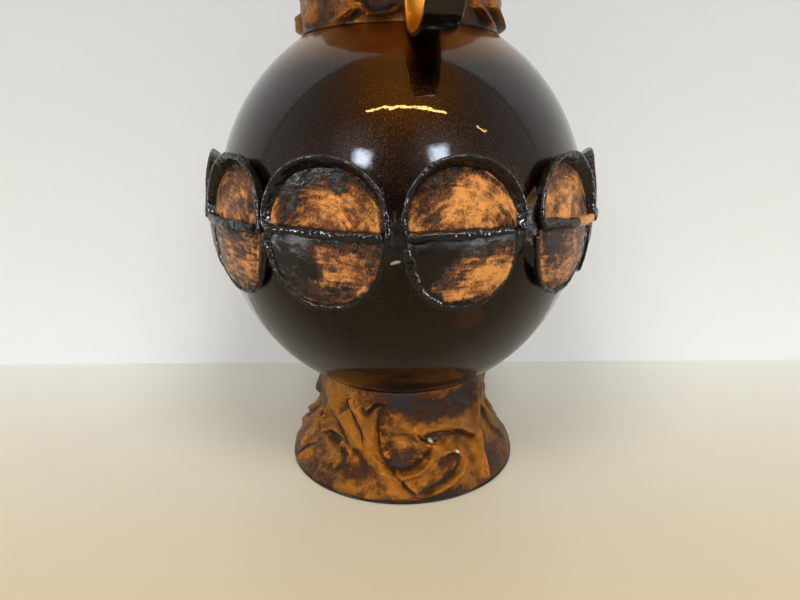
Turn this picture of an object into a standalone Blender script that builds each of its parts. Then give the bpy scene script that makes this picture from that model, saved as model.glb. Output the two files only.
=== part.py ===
"""A lacquered metal vase with a wrinkled copper-coloured neck and foot.

The hollow body is two spun bowls. A belt of medallions runs round its middle, each a
pad with two bent rim ribbons and a bar across it. A wrinkled skin covers the neck tube
and the foot cone, and one closed strap loop is fixed to the neck. The axis is vertical,
the foot stands on z = 0 and the side with the strap faces -Y.
"""

import math

import bmesh
import bpy

# Body
BODY_RADIUS = 0.100
BODY_HALF_HEIGHT = 0.1052
BODY_WALL = 0.0015
MOUTH_RADIUS = 0.0475

# Foot
FOOT_HEIGHT = 0.0567
FOOT_WAIST_RADIUS = 0.0500
FOOT_FLARE_HEIGHT = 0.033
FOOT_RADIUS = 0.0680
FOOT_RING_WIDTH = 0.0045
FOOT_RING_HEIGHT = 0.0016

# Neck
NECK_HEIGHT = 0.054
NECK_WAIST_RADIUS = 0.0518
NECK_FLARE_HEIGHT = 0.035
NECK_FLARE_RADIUS = 0.0640
LIP_THICKNESS = 0.0030

# Tube, cone and the skin on them
LINING_WALL = 0.0012
SKIN_WALL = 0.0009
SKIN_DEPTH = 0.0012
FOLD_HEIGHT = 0.0018
LUMP_HEIGHT = 0.0045
LUMP_RADIUS = 0.0065
LUMP_LEVEL = 0.0410
LUMP_AZIMUTH = math.radians(-86)

# Medallions
POD_COUNT = 11
FIRST_POD_AZIMUTH = math.radians(14.8)
POD_LINE_RISE = 0.0027
POD_SPACING_GAP = 0.0053
POD_UPPER_HEIGHT = 0.0300
POD_LOWER_HEIGHT = 0.0339
POD_LOWER_INSET = 0.0004
RIBBON_THICKNESS = 0.0030
RIBBON_EDGE = 0.0007
UPPER_RIBBON_HEIGHT = 0.0078
LOWER_RIBBON_HEIGHT = 0.0055
BAR_THICKNESS = 0.0043
BAR_REACH = 0.0078
BAR_EDGE = 0.0009
PAD_EDGE_HEIGHT = 0.0014
PAD_BAR_HEIGHT = 0.0030
PAD_BULGE = 0.0016
PAD_INSET = 0.0006

# Strap loop
LOOP_AZIMUTH = math.radians(9.9)
LOOP_WIDTH = 0.0160
LOOP_THICKNESS = 0.0026
LOOP_REACH = 0.0494
LOOP_HEIGHT = 0.0500
LOOP_DROP = 0.0090
LOOP_EDGE = 0.0006

# Fits and shape shares
CLEARANCE = 0.0003
MERGE = 0.00001
POD_FULLNESS = 2.3
LOOP_FULLNESS = 2.6
POD_TILT = math.radians(4)
POD_TILT_WAVES = 5
POD_TILT_START = 1.0
POD_DRIFT = math.radians(1.3)
POD_DRIFT_WAVES = 3
WIDE_POD = 10
WIDE_POD_SHARE = 1.075
PAD_TOP_SHARE = 0.96
FOLD_COUNT = 9
CROSS_FOLD_COUNT = 5
FOLD_LEANS = 2
FOLD_SWIRL = 1.9
FOLD_CLIMB = 3.5
FOLD_FADE_SHARE = 0.22
RING_CUT_SHARE = 0.25
EDGE_ANGLE = math.radians(40)

# Facets
TURN_STEPS = 44
BOWL_STEPS = 7
LINING_STEPS = 22
LINING_INNER_ROWS = 4
LIP_STEPS = 8
SKIN_COLUMNS = 44
SKIN_ROWS = 9
RIBBON_STEPS = 9
PAD_COLUMNS = 5
PAD_HALF_ROWS = 3
BAR_STEPS = 4
LOOP_STEPS = 28

BODY_CENTRE = FOOT_HEIGHT + BODY_HALF_HEIGHT * math.sqrt(1 - (FOOT_WAIST_RADIUS / BODY_RADIUS) ** 2)
POD_LINE = BODY_CENTRE + POD_LINE_RISE
NECK_BASE = BODY_CENTRE + BODY_HALF_HEIGHT * math.sqrt(1 - (NECK_WAIST_RADIUS / BODY_RADIUS) ** 2)
NECK_TOP = NECK_BASE + NECK_HEIGHT
POD_HALF_WIDTH = math.pi * BODY_RADIUS / POD_COUNT - POD_SPACING_GAP / 2


def mix(start, end, share):
    return start + (end - start) * share


def surface_height(radius, side):
    """Height of the body's outer face at a radius, above the middle for side 1 and below it for side -1."""
    return BODY_CENTRE + side * BODY_HALF_HEIGHT * math.sqrt(1 - (radius / BODY_RADIUS) ** 2)


def on_body(azimuth, height, stand_off):
    """The point that stands off the body's face, square to it, at an azimuth from -Y and a height."""
    rise = height - BODY_CENTRE
    radius = BODY_RADIUS * math.sqrt(1 - (rise / BODY_HALF_HEIGHT) ** 2)
    across, up = radius / BODY_RADIUS ** 2, rise / BODY_HALF_HEIGHT ** 2
    length = math.hypot(across, up)
    radius += stand_off * across / length
    return radius * math.sin(azimuth), -radius * math.cos(azimuth), height + stand_off * up / length


def bell(share):
    """0 at share 0, 1 at share 1, with level ends."""
    return (1 - math.cos(math.pi * min(max(share, 0), 1))) / 2


def foot_radius(height):
    """Outer radius of the smooth foot: upright at the waist and belled out to the floor."""
    return mix(FOOT_WAIST_RADIUS, FOOT_RADIUS, bell(1 - height / FOOT_FLARE_HEIGHT))


def neck_radius(height):
    """Outer radius of the smooth neck: upright at the shoulder and belled out to the mouth."""
    return mix(NECK_WAIST_RADIUS, NECK_FLARE_RADIUS, bell(1 - (NECK_TOP - height) / NECK_FLARE_HEIGHT))


def folds(azimuth, level):
    """Height share of the soft folds, from 0 to 1. The folds lean and swirl as they climb."""
    lean = FOLD_SWIRL * math.sin(FOLD_LEANS * azimuth + math.pi * level)
    ridges = math.sin(FOLD_COUNT * azimuth + lean + FOLD_CLIMB * level)
    cross = math.sin(CROSS_FOLD_COUNT * azimuth - FOLD_CLIMB * level)
    return (2 + ridges + cross) / 4


def fold_fade(level):
    """1 over most of a skin, falling to 0 at its two ends."""
    return bell(level / FOLD_FADE_SHARE) * bell((1 - level) / FOLD_FADE_SHARE)


def lump(azimuth, height):
    """A blob on the left of the foot, a bell-shaped bump round its own place."""
    turn = math.remainder(azimuth - LUMP_AZIMUTH, math.tau) * FOOT_WAIST_RADIUS
    distance = math.hypot(turn, height - LUMP_LEVEL) / LUMP_RADIUS
    return LUMP_HEIGHT * math.exp(-distance ** 2)


def rounded(angle, half_width, height):
    """A point of a filled-out half ellipse, as (sideways, up)."""
    power = 2 / POD_FULLNESS
    sideways, up = math.cos(angle), math.sin(angle)
    return (
        half_width * math.copysign(abs(sideways) ** power, sideways),
        height * math.copysign(abs(up) ** power, up),
    )


def angle_at(up, height):
    """The angle at which rounded() reaches the given rise."""
    return math.asin((up / height) ** (POD_FULLNESS / 2))


def half_width_at(up, half_width, height):
    """Half the width of the filled-out half ellipse at the given rise."""
    return half_width * (1 - (up / height) ** POD_FULLNESS) ** (1 / POD_FULLNESS)


def add_object(name, mesh, material, collection):
    obj = bpy.data.objects.new(name, mesh)
    mesh.materials.append(material)
    collection.objects.link(obj)
    return obj


def finish_mesh(name, bm):
    mesh = bpy.data.meshes.new(name)
    bm.to_mesh(mesh)
    bm.free()
    mesh.shade_smooth()
    mesh.set_sharp_from_angle(angle=EDGE_ANGLE)
    return mesh


def turned(name, profile, steps, closed, material, collection):
    """A profile of (radius, height) points turned about the axis. An open one ends on the axis."""
    mesh = bpy.data.meshes.new(name)
    last = len(profile) if closed else len(profile) - 1
    edges = [(i, (i + 1) % len(profile)) for i in range(last)]
    mesh.from_pydata([(radius, 0, height) for radius, height in profile], edges, [])
    obj = add_object(name, mesh, material, collection)
    screw = obj.modifiers.new("Turn", "SCREW")
    screw.axis = "Z"
    screw.angle = math.tau
    screw.steps = screw.render_steps = steps
    screw.use_merge_vertices = True
    screw.merge_threshold = MERGE
    screw.use_smooth_shade = True
    return obj


def add_bevel(obj, width):
    bevel = obj.modifiers.new("Edges", "BEVEL")
    bevel.width = width
    bevel.segments = 1
    bevel.limit_method = "ANGLE"
    bevel.angle_limit = EDGE_ANGLE


def bent_sheet(name, columns, rows, place, wall, material, collection):
    """A grid closed on itself sideways, moved by place(share round, share up), with a wall put outside it."""
    bm = bmesh.new()
    bmesh.ops.create_grid(bm, x_segments=columns, y_segments=rows, size=1)
    for vertex in bm.verts:
        vertex.co = place((vertex.co.x + 1) / 2, (vertex.co.y + 1) / 2)
    bmesh.ops.remove_doubles(bm, verts=bm.verts, dist=MERGE)
    obj = add_object(name, finish_mesh(name, bm), material, collection)
    solidify = obj.modifiers.new("Wall", "SOLIDIFY")
    solidify.thickness = wall
    solidify.offset = 1
    return obj


def bent_block(name, columns, rows, place, material, collection):
    """A grid extruded to a slab, moved by place(share along, share across, level 0 or 1)."""
    bm = bmesh.new()
    bmesh.ops.create_grid(bm, x_segments=columns, y_segments=rows, size=1)
    raised = bmesh.ops.extrude_face_region(bm, geom=bm.faces[:])["geom"]
    for vertex in raised:
        if isinstance(vertex, bmesh.types.BMVert):
            vertex.co.z = 1
    for vertex in bm.verts:
        vertex.co = place((vertex.co.x + 1) / 2, (vertex.co.y + 1) / 2, round(vertex.co.z))
    bm.normal_update()
    bmesh.ops.recalc_face_normals(bm, faces=bm.faces)
    return add_object(name, finish_mesh(name, bm), material, collection)


def bowl_arc(side, radius, half_height, from_radius, to_radius):
    """Points of the body's half section between two radii, evenly spaced by angle."""
    start, end = math.acos(from_radius / radius), math.acos(to_radius / radius)
    angles = [mix(start, end, step / BOWL_STEPS) for step in range(BOWL_STEPS + 1)]
    return [(radius * math.cos(a), BODY_CENTRE + side * half_height * math.sin(a)) for a in angles]


def raise_seam(points, side):
    """Moves the equator point of a bowl's arc off the middle, to leave half the seam's clearance."""
    return [(r, z + side * CLEARANCE / 2 if math.isclose(z, BODY_CENTRE) else z) for r, z in points]


def build_bowls(material, collection):
    inner_radius, inner_half_height = BODY_RADIUS - BODY_WALL, BODY_HALF_HEIGHT - BODY_WALL
    inner = bowl_arc(-1, inner_radius, inner_half_height, 0, inner_radius)
    outer = bowl_arc(-1, BODY_RADIUS, BODY_HALF_HEIGHT, BODY_RADIUS, 0)
    turned("bowl_lower", raise_seam(inner + outer, -1), TURN_STEPS, False, material, collection)
    outer = bowl_arc(1, BODY_RADIUS, BODY_HALF_HEIGHT, MOUTH_RADIUS, BODY_RADIUS)
    inner = bowl_arc(1, inner_radius, inner_half_height, inner_radius, MOUTH_RADIUS)
    turned("bowl_upper", raise_seam(outer + inner, 1), TURN_STEPS, True, material, collection)


def lining_profile(radius_at, top, bottom):
    """Outer side from top to bottom and inner side back up, one wall thick."""
    down = [mix(top, bottom, row / SKIN_ROWS) for row in range(SKIN_ROWS + 1)]
    back_up = [mix(bottom, top, row / LINING_INNER_ROWS) for row in range(LINING_INNER_ROWS + 1)]
    outer = [(radius_at(z) - SKIN_DEPTH, z) for z in down]
    return outer + [(radius_at(z) - SKIN_DEPTH - LINING_WALL, z) for z in back_up]


def ring_profile(outer_radius, width, bottom, height):
    """A flat ring's section with its two outer corners cut."""
    cut = RING_CUT_SHARE * height
    return [
        (outer_radius - cut, bottom + height),
        (outer_radius, bottom + height - cut),
        (outer_radius, bottom + cut),
        (outer_radius - cut, bottom),
        (outer_radius - width, bottom),
        (outer_radius - width, bottom + height),
    ]


def lip_profile():
    """A round wire section on the mouth's edge."""
    radius = LIP_THICKNESS / 2
    middle = NECK_FLARE_RADIUS - SKIN_DEPTH
    angles = [math.pi / 2 - math.tau * step / LIP_STEPS for step in range(LIP_STEPS)]
    return [(middle + radius * math.cos(a), NECK_TOP + radius * math.sin(a)) for a in angles]


def build_foot(smooth, skin, collection):
    seat = FOOT_RING_HEIGHT + CLEARANCE
    top = surface_height(FOOT_WAIST_RADIUS - SKIN_DEPTH - LINING_WALL, -1) - CLEARANCE
    turned("foot_cone", lining_profile(foot_radius, top, seat), LINING_STEPS, True, smooth, collection)
    ring = ring_profile(FOOT_RADIUS, FOOT_RING_WIDTH, 0, FOOT_RING_HEIGHT)
    turned("foot_ring", ring, TURN_STEPS, True, smooth, collection)
    skin_top = surface_height(FOOT_WAIST_RADIUS - SKIN_DEPTH, -1) - CLEARANCE

    def place(around, up):
        azimuth = math.tau * around
        height = mix(seat, skin_top, up)
        radius = foot_radius(height) - SKIN_DEPTH + CLEARANCE
        radius += fold_fade(up) * (FOLD_HEIGHT * folds(azimuth, up) + lump(azimuth, height))
        return radius * math.sin(azimuth), -radius * math.cos(azimuth), height

    bent_sheet("foot_skin", SKIN_COLUMNS, SKIN_ROWS, place, SKIN_WALL, skin, collection)


def build_neck(smooth, skin, collection):
    seat = surface_height(NECK_WAIST_RADIUS - SKIN_DEPTH - LINING_WALL, 1) + CLEARANCE
    rim = NECK_TOP - LIP_THICKNESS / 2 - CLEARANCE
    turned("neck_tube", lining_profile(neck_radius, rim, seat), LINING_STEPS, True, smooth, collection)
    turned("mouth_lip", lip_profile(), TURN_STEPS, True, smooth, collection)
    skin_seat = surface_height(NECK_WAIST_RADIUS - SKIN_DEPTH, 1) + CLEARANCE

    def place(around, up):
        azimuth = math.tau * around
        height = mix(skin_seat, rim, up)
        turn = math.remainder(azimuth - LOOP_AZIMUTH, math.tau)
        beside_loop = bell(abs(turn) * NECK_WAIST_RADIUS / LOOP_WIDTH - 1 / 2)
        radius = neck_radius(height) - SKIN_DEPTH + CLEARANCE
        radius += fold_fade(up) * beside_loop * FOLD_HEIGHT * folds(azimuth + math.pi, up)
        return radius * math.sin(azimuth), -radius * math.cos(azimuth), height

    bent_sheet("neck_skin", SKIN_COLUMNS, SKIN_ROWS, place, SKIN_WALL, skin, collection)


def build_loop(material, collection):
    """The strap is a closed rounded loop in the upright plane through the axis, with its inner leg on the neck."""
    half_reach = (LOOP_REACH - LOOP_THICKNESS) / 2
    half_height = (LOOP_HEIGHT - LOOP_THICKNESS) / 2
    stand_off = SKIN_WALL + CLEARANCE + LOOP_THICKNESS / 2
    middle_radius = NECK_WAIST_RADIUS + stand_off + half_reach
    middle_height = NECK_BASE - LOOP_DROP + LOOP_HEIGHT / 2
    power = 2 / LOOP_FULLNESS

    def place(around, across):
        angle = math.tau * around
        out, up = math.cos(angle), math.sin(angle)
        radius = middle_radius + half_reach * math.copysign(abs(out) ** power, out)
        height = middle_height + half_height * math.copysign(abs(up) ** power, up)
        radius = max(radius, neck_radius(height) + stand_off)
        sideways = mix(-LOOP_WIDTH, LOOP_WIDTH, across) / 2
        return (
            radius * math.sin(LOOP_AZIMUTH) + sideways * math.cos(LOOP_AZIMUTH),
            -radius * math.cos(LOOP_AZIMUTH) + sideways * math.sin(LOOP_AZIMUTH),
            height,
        )

    strap = bent_sheet("strap_loop", LOOP_STEPS, 1, place, LOOP_THICKNESS, material, collection)
    strap.modifiers["Wall"].offset = 0
    add_bevel(strap, LOOP_EDGE)


def pod_frame(number):
    """A function that puts (sideways, up, stand-off) of one medallion on the body, a little tilted."""
    turn = math.tau * number / POD_COUNT
    azimuth = FIRST_POD_AZIMUTH + turn + POD_DRIFT * math.sin(POD_DRIFT_WAVES * turn)
    tilt = POD_TILT * math.cos(POD_TILT_WAVES * turn + POD_TILT_START)
    stretch = WIDE_POD_SHARE if number == WIDE_POD else 1

    def put(sideways, up, stand_off):
        across = stretch * (sideways * math.cos(tilt) - up * math.sin(tilt))
        rise = sideways * math.sin(tilt) + up * math.cos(tilt)
        return on_body(azimuth + across / BODY_RADIUS, POD_LINE + rise, stand_off)

    return put


def build_ribbon(name, put, half_width, height, side, ends, stand, material, collection):
    """A ribbon on edge, bent round one half of a medallion. Side is 1 above the bar and -1 below it."""
    left_end, right_end = ends

    def place(along, across, level):
        angle = mix(left_end, right_end, along)
        inset = RIBBON_THICKNESS * across
        sideways, up = rounded(angle, half_width - inset, height - inset)
        return put(sideways, side * up, mix(CLEARANCE, stand, level))

    ribbon = bent_block(name, RIBBON_STEPS, 1, place, material, collection)
    add_bevel(ribbon, RIBBON_EDGE)


def build_pod(number, black, copper, collection):
    name = f"pod_{number + 1:02d}"
    put = pod_frame(number)
    bar_half = BAR_THICKNESS / 2
    inner_upper = POD_UPPER_HEIGHT - RIBBON_THICKNESS
    inner_lower = POD_LOWER_HEIGHT - RIBBON_THICKNESS
    inner_half_width = POD_HALF_WIDTH - RIBBON_THICKNESS
    lower_half_width = POD_HALF_WIDTH - POD_LOWER_INSET

    left_foot = math.pi + angle_at(bar_half, POD_UPPER_HEIGHT)
    right_foot = angle_at(bar_half + CLEARANCE, inner_upper)
    build_ribbon(f"{name}_upper_rim", put, POD_HALF_WIDTH, POD_UPPER_HEIGHT, 1,
                 (left_foot, right_foot), UPPER_RIBBON_HEIGHT, black, collection)

    lower_foot = angle_at(bar_half + CLEARANCE * 2, inner_lower)
    build_ribbon(f"{name}_lower_rim", put, lower_half_width, POD_LOWER_HEIGHT, -1,
                 (math.pi - lower_foot, lower_foot), LOWER_RIBBON_HEIGHT, black, collection)

    def place_bar(along, across, level):
        left, right = CLEARANCE - inner_half_width, POD_HALF_WIDTH
        reach = mix(PAD_BAR_HEIGHT + CLEARANCE, BAR_REACH, level)
        return put(mix(left, right, along), mix(-bar_half, bar_half, across), reach)

    add_bevel(bent_block(f"{name}_bar", BAR_STEPS, 1, place_bar, black, collection), BAR_EDGE)

    def place_pad(along, across, level):
        row = (2 * across - 1) * PAD_HALF_ROWS
        above = row > 0
        height = (inner_upper if above else inner_lower) - PAD_INSET
        widest = inner_half_width - PAD_INSET - (0 if above else POD_LOWER_INSET)
        share = math.sin(abs(row) / PAD_HALF_ROWS * math.asin(PAD_TOP_SHARE))
        sideways = mix(-1, 1, along) * half_width_at(share * height, widest, height)
        fall = mix(PAD_BAR_HEIGHT, PAD_EDGE_HEIGHT, share)
        swell = 0 if above else PAD_BULGE * math.sin(math.pi * share) * (1 - mix(-1, 1, along) ** 2)
        up = math.copysign(share * height, row)
        return put(sideways, up, mix(CLEARANCE, fall + swell, level))

    bent_block(f"{name}_pad", PAD_COLUMNS, 2 * PAD_HALF_ROWS, place_pad, copper, collection)


def make_material(name, colour, roughness, metallic):
    material = bpy.data.materials.new(name)
    material.use_nodes = True
    shader = material.node_tree.nodes["Principled BSDF"]
    shader.inputs["Base Color"].default_value = (*colour, 1)
    shader.inputs["Roughness"].default_value = roughness
    shader.inputs["Metallic"].default_value = metallic
    return material


def main():
    for obj in list(bpy.data.objects):
        bpy.data.objects.remove(obj, do_unlink=True)
    vase = bpy.data.collections.new("metal_vase")
    bpy.context.scene.collection.children.link(vase)
    lacquer = make_material("brown_lacquer", (0.020, 0.013, 0.008), 0.15, 0.4)
    black = make_material("black_lacquer", (0.008, 0.007, 0.007), 0.2, 0.2)
    copper = make_material("copper_patina", (0.50, 0.21, 0.07), 0.45, 0.7)
    build_bowls(lacquer, vase)
    build_foot(black, copper, vase)
    build_neck(black, copper, vase)
    build_loop(black, vase)
    for number in range(POD_COUNT):
        build_pod(number, black, copper, vase)


main()
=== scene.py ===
"""A lacquered metal vase with a belt of medallions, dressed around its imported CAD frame.

Sizes are in metres. An azimuth is measured about the axis from -Y, the side with the strap, towards +X.
"""

import itertools
import math
from functools import partial

import bpy
import numpy as np
from bpy.props import FloatProperty, FloatVectorProperty, IntProperty, PointerProperty
from mathutils import Matrix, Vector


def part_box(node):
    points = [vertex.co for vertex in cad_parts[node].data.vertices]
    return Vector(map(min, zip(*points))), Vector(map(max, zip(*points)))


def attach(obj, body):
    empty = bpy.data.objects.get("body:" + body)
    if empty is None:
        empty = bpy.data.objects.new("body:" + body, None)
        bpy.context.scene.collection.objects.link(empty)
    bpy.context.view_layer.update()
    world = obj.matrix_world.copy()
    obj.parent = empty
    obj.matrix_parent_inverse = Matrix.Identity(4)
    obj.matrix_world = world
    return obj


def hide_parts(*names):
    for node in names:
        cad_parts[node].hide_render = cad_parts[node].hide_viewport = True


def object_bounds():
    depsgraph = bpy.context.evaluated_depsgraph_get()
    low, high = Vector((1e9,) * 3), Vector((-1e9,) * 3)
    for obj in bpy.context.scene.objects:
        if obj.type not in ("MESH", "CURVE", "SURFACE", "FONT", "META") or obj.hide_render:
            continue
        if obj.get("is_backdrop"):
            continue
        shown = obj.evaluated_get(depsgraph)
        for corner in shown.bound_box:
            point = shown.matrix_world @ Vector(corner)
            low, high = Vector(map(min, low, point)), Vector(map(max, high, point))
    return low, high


bl_info = {
    "name": "Metal vase",
    "version": (1, 0, 0),
    "blender": (4, 5, 0),
    "location": "View3D > Sidebar > Vase",
    "description": "Builds a lacquered metal vase with a copper-coloured foot, neck and medallions",
    "category": "Object",
}

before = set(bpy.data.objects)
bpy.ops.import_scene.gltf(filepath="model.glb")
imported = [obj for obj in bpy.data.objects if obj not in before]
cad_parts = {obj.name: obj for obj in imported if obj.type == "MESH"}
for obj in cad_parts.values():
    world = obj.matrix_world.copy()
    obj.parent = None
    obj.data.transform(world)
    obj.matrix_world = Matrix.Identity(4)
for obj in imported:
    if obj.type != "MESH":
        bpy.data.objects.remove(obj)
cad_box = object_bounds()

MM = 0.001
ROOT = "root"
BLACK = (0, 0, 0)
TURN_STEPS = 256
# Thickness of the skins, and the radius at which lengths round them are laid out flat.
SKIN_WALL, SKIN_REACH = 0.9 * MM, 0.055
# The four medallions that face the front, by number.
LEFT, FRONT_LEFT, FRONT_RIGHT, RIGHT = 9, 10, 0, 1
# How the medallions tilt and drift round the belt, how much wider one is, and how filled out all are.
POD_WAVES = {"tilt": math.radians(4), "tilt_waves": 5, "tilt_start": 1.0,
             "drift": math.radians(1.3), "drift_waves": 3}
WIDE_POD, WIDE_POD_SHARE = FRONT_LEFT, 1.075
POD_FULLNESS = 2.3

# Name, place, turns in degrees, size across and deep, watts, tint, and whether gloss alone sees the lamp.
LAMPS = [
    ("ceiling_strip", (0.155, -1.36, 2.4), (0, 0, 0), 1.94, 0.075, 24, (1.0, 0.68, 0.2), True),
    ("next_strip", (2.33, -1.38, 2.4), (0, 0, 0), 0.45, 0.075, 4.6, (1.0, 0.68, 0.2), True),
    ("soft_left", (-0.85, -1.4, 2.1), (36, 0, -30), 1.0, 0.7, 28, (0.97, 0.98, 1.0), False),
    ("soft_right", (0.8, -1.45, 2.1), (36, 0, 28), 1.0, 0.7, 35, (0.95, 0.98, 1.0), False),
    ("soft_front", (0.2, -3.0, 1.7), (65, 0, 0), 2.4, 1.4, 12, (0.95, 0.98, 1.0), False),
]
# What gloss mirrors of the room: azimuth and elevation in degrees, spread and colour. The spread is a
# sharpness, or a window's half width and half height.
ROOM_LIGHTS = [
    (-25.3, 31, (0.077, 0.066), (30, 34, 40)), (-30, 33, 40, (0.9, 1.05, 1.35)),
    (25, 33, (0.085, 0.068), (26, 30, 36)), (25, 33, 40, (0.8, 0.95, 1.25)),
    (0, 74, 9, (1.7, 0.62, 0.03)), (-52, 9, (0.05, 0.03), (60, 60, 62)), (36, 9, (0.04, 0.03), (60, 60, 62)),
    (-20, 5, (0.03, 0.02), (60, 54, 46)), (8, 5, (0.03, 0.02), (60, 54, 46)),
    (60, 5, (0.09, 0.06), (60, 60, 62)), (-62, 5, (0.09, 0.06), (60, 60, 62)),
]
# Folds of the foot that show from the front: points as azimuth in degrees and height in mm, then width and
# rise in mm, and the side that is steep and creased, seen along the points: 1 for left, -1 for right.
FOOT_FOLDS = [
    ([(-16.7, 48), (-18.1, 37.8), (-18.2, 30.2), (-16.5, 22.7), (-11, 17.2), (-4.1, 14.3), (2.3, 13.8),
      (9.1, 16.6), (17.2, 21.1), (23.5, 25.2)], 2.6, 2.5, 1),
    ([(-36, 50), (-33.6, 46.5), (-27.9, 38), (-22.9, 30.4), (-18, 22)], 3.4, 1.5, -1),
    ([(-60, 52), (-52, 43), (-42, 36), (-34, 29), (-24, 24), (-13, 17)], 5.5, 2.2, -1),
    ([(-58, 22), (-54.1, 27), (-44.5, 28.1), (-37.4, 25), (-30, 19)], 2.4, 1.9, -1),
    ([(-60, 27), (-56.2, 24.4), (-45.7, 20.2), (-38.2, 18.5), (-35, 15.8), (-38, 11)], 2.6, 1.4, 1),
    ([(6, 29.5), (13.5, 33.9), (23.6, 34.6), (35.8, 32.4), (45.4, 27.2), (53.1, 22.7)], 3.2, 2.2, -1),
    ([(57, 27), (53.1, 21.7), (48.1, 17), (45.6, 11.8), (44.2, 3)], 3.0, 2.4, 1),
    ([(22, 19), (27, 22.3), (31.4, 21.4), (35, 17.5), (31.4, 12.6), (22.4, 8.9), (13.1, 5.5), (5, 2)],
     2.4, 1.9, -1),
    ([(-12, 18), (-5.5, 11.8), (-0.9, 6.4), (3, 2)], 3.4, 1.3, 1),
    ([(-68, 3), (-65.1, 7), (-62.1, 11.3), (-57.3, 14.9)], 2.6, 1.5, 1),
    ([(-92, 13), (-89.6, 15.8), (-81.3, 23), (-72.6, 29.6), (-68, 35)], 2.8, 1.8, 1),
    ([(-70, 10), (-72.8, 18), (-70.1, 25.7), (-61.4, 31), (-58, 40)], 2.8, 1.6, 1),
    ([(-24, 43), (-19, 49), (-12.6, 51.7), (-9, 48)], 2.2, 1.0, -1),
    ([(7, 31), (12.6, 27.4), (18.3, 25.3), (23, 26)], 2.0, 1.5, 1),
    ([(73, 33), (75.9, 26.7), (73.5, 22.7), (76.6, 12)], 2.8, 1.8, -1),
    ([(57, 52), (57, 46.1), (60.3, 35.8), (61.1, 25.8), (66, 18)], 3.0, 1.5, 1),
]
# The same for the neck's front, and its black patches as azimuth, height, half sizes and amount.
NECK_FOLDS = [
    ([(-64, 246), (-54, 240), (-42, 237), (-30, 240.5), (-22, 247)], 3.0, 2.3, -1),
    ([(-27, 236), (-16, 238), (-7, 237), (2, 239)], 2.4, 2.2, -1),
    ([(-22, 248), (-18, 243), (-8, 241.5), (0, 245)], 2.2, 2.2, 1),
    ([(40, 249), (50, 242), (62, 238), (74, 236)], 2.8, 2.4, -1),
    ([(58, 250), (66, 245), (76, 242), (88, 238)], 2.6, 2.3, -1),
    ([(-90, 236), (-84, 241), (-78, 249)], 3.2, 2.0, 1),
    ([(80, 235), (86, 237), (94, 236)], 2.6, 2.0, 1),
    ([(24, 250), (30, 244), (34, 237)], 2.6, 1.6, 1),
]
NECK_MARKS = [(-11, 242, 10, 5, 0.9), (-50, 240, 15, 2.5, 0.6), (60, 242, 20, 4, 0.8), (34, 238, 10, 3, 0.5),
              (-75, 240, 8, 6, 0.3), (-32, 236, 12, 2, -0.3)]
# Broad hollows (below 0) and swells of the foot: azimuth, height, half sizes and rise, in degrees and mm.
FOOT_SWELLS = [(-1, 25, 11, 7.5, -1.8), (15, 13, 9, 5, 1.3), (-43, 23, 6, 3.5, -1.4), (38, 22, 8, 6, 1.0),
               (-22, 10, 14, 6, 0.6)]
# Chips down to a pale ground: azimuth in degrees, height and radius in mm.
FOOT_CHIPS = [(17.6, 27.4, 1.9), (31, 21.2, 1.1)]
# Black patina (above 0) and clean copper (below 0) on the foot: azimuth, height, half sizes and amount.
# The dark band along the top is partly painted shadow under the body, and some clean spots are painted
# highlights on the folds.
FOOT_MARKS = [(34, 47, 36, 8, 0.74), (-8, 52.5, 24, 6, 0.66), (45, 42, 16, 6, 0.3), (20, 3, 11, 2.5, 0.9),
              (-40, 42, 4, 6, 0.4), (-45, 24, 5, 4, 0.4), (-42, 6, 9, 4, 0.5), (-3, 19.5, 8, 3.5, 0.4),
              (24, 17, 6, 3.5, 0.3), (9, 15, 4, 3, 0.35), (15, 29, 5, 2.5, 0.35), (56, 8, 8, 10, 0.35),
              (-62, 40, 8, 12, 0.2), (70, 20, 9, 12, 0.3), (-50, 44, 5, 8, -0.4), (-20, 28, 3.5, 8, -0.3),
              (-25, 19, 7, 4, -0.5), (-2, 14, 8, 1.6, -0.25), (-16, 6, 9, 3, -0.3), (1, 7, 6, 3, -0.35),
              (8, 10.5, 4, 3, -0.25), (33, 6, 7, 4, -0.35), (44, 22, 5, 8, -0.35), (-3, 38, 9, 4, -0.15),
              (0, 30, 8, 4, 0.2), (29, 12.5, 6, 3, -0.3)]
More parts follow.
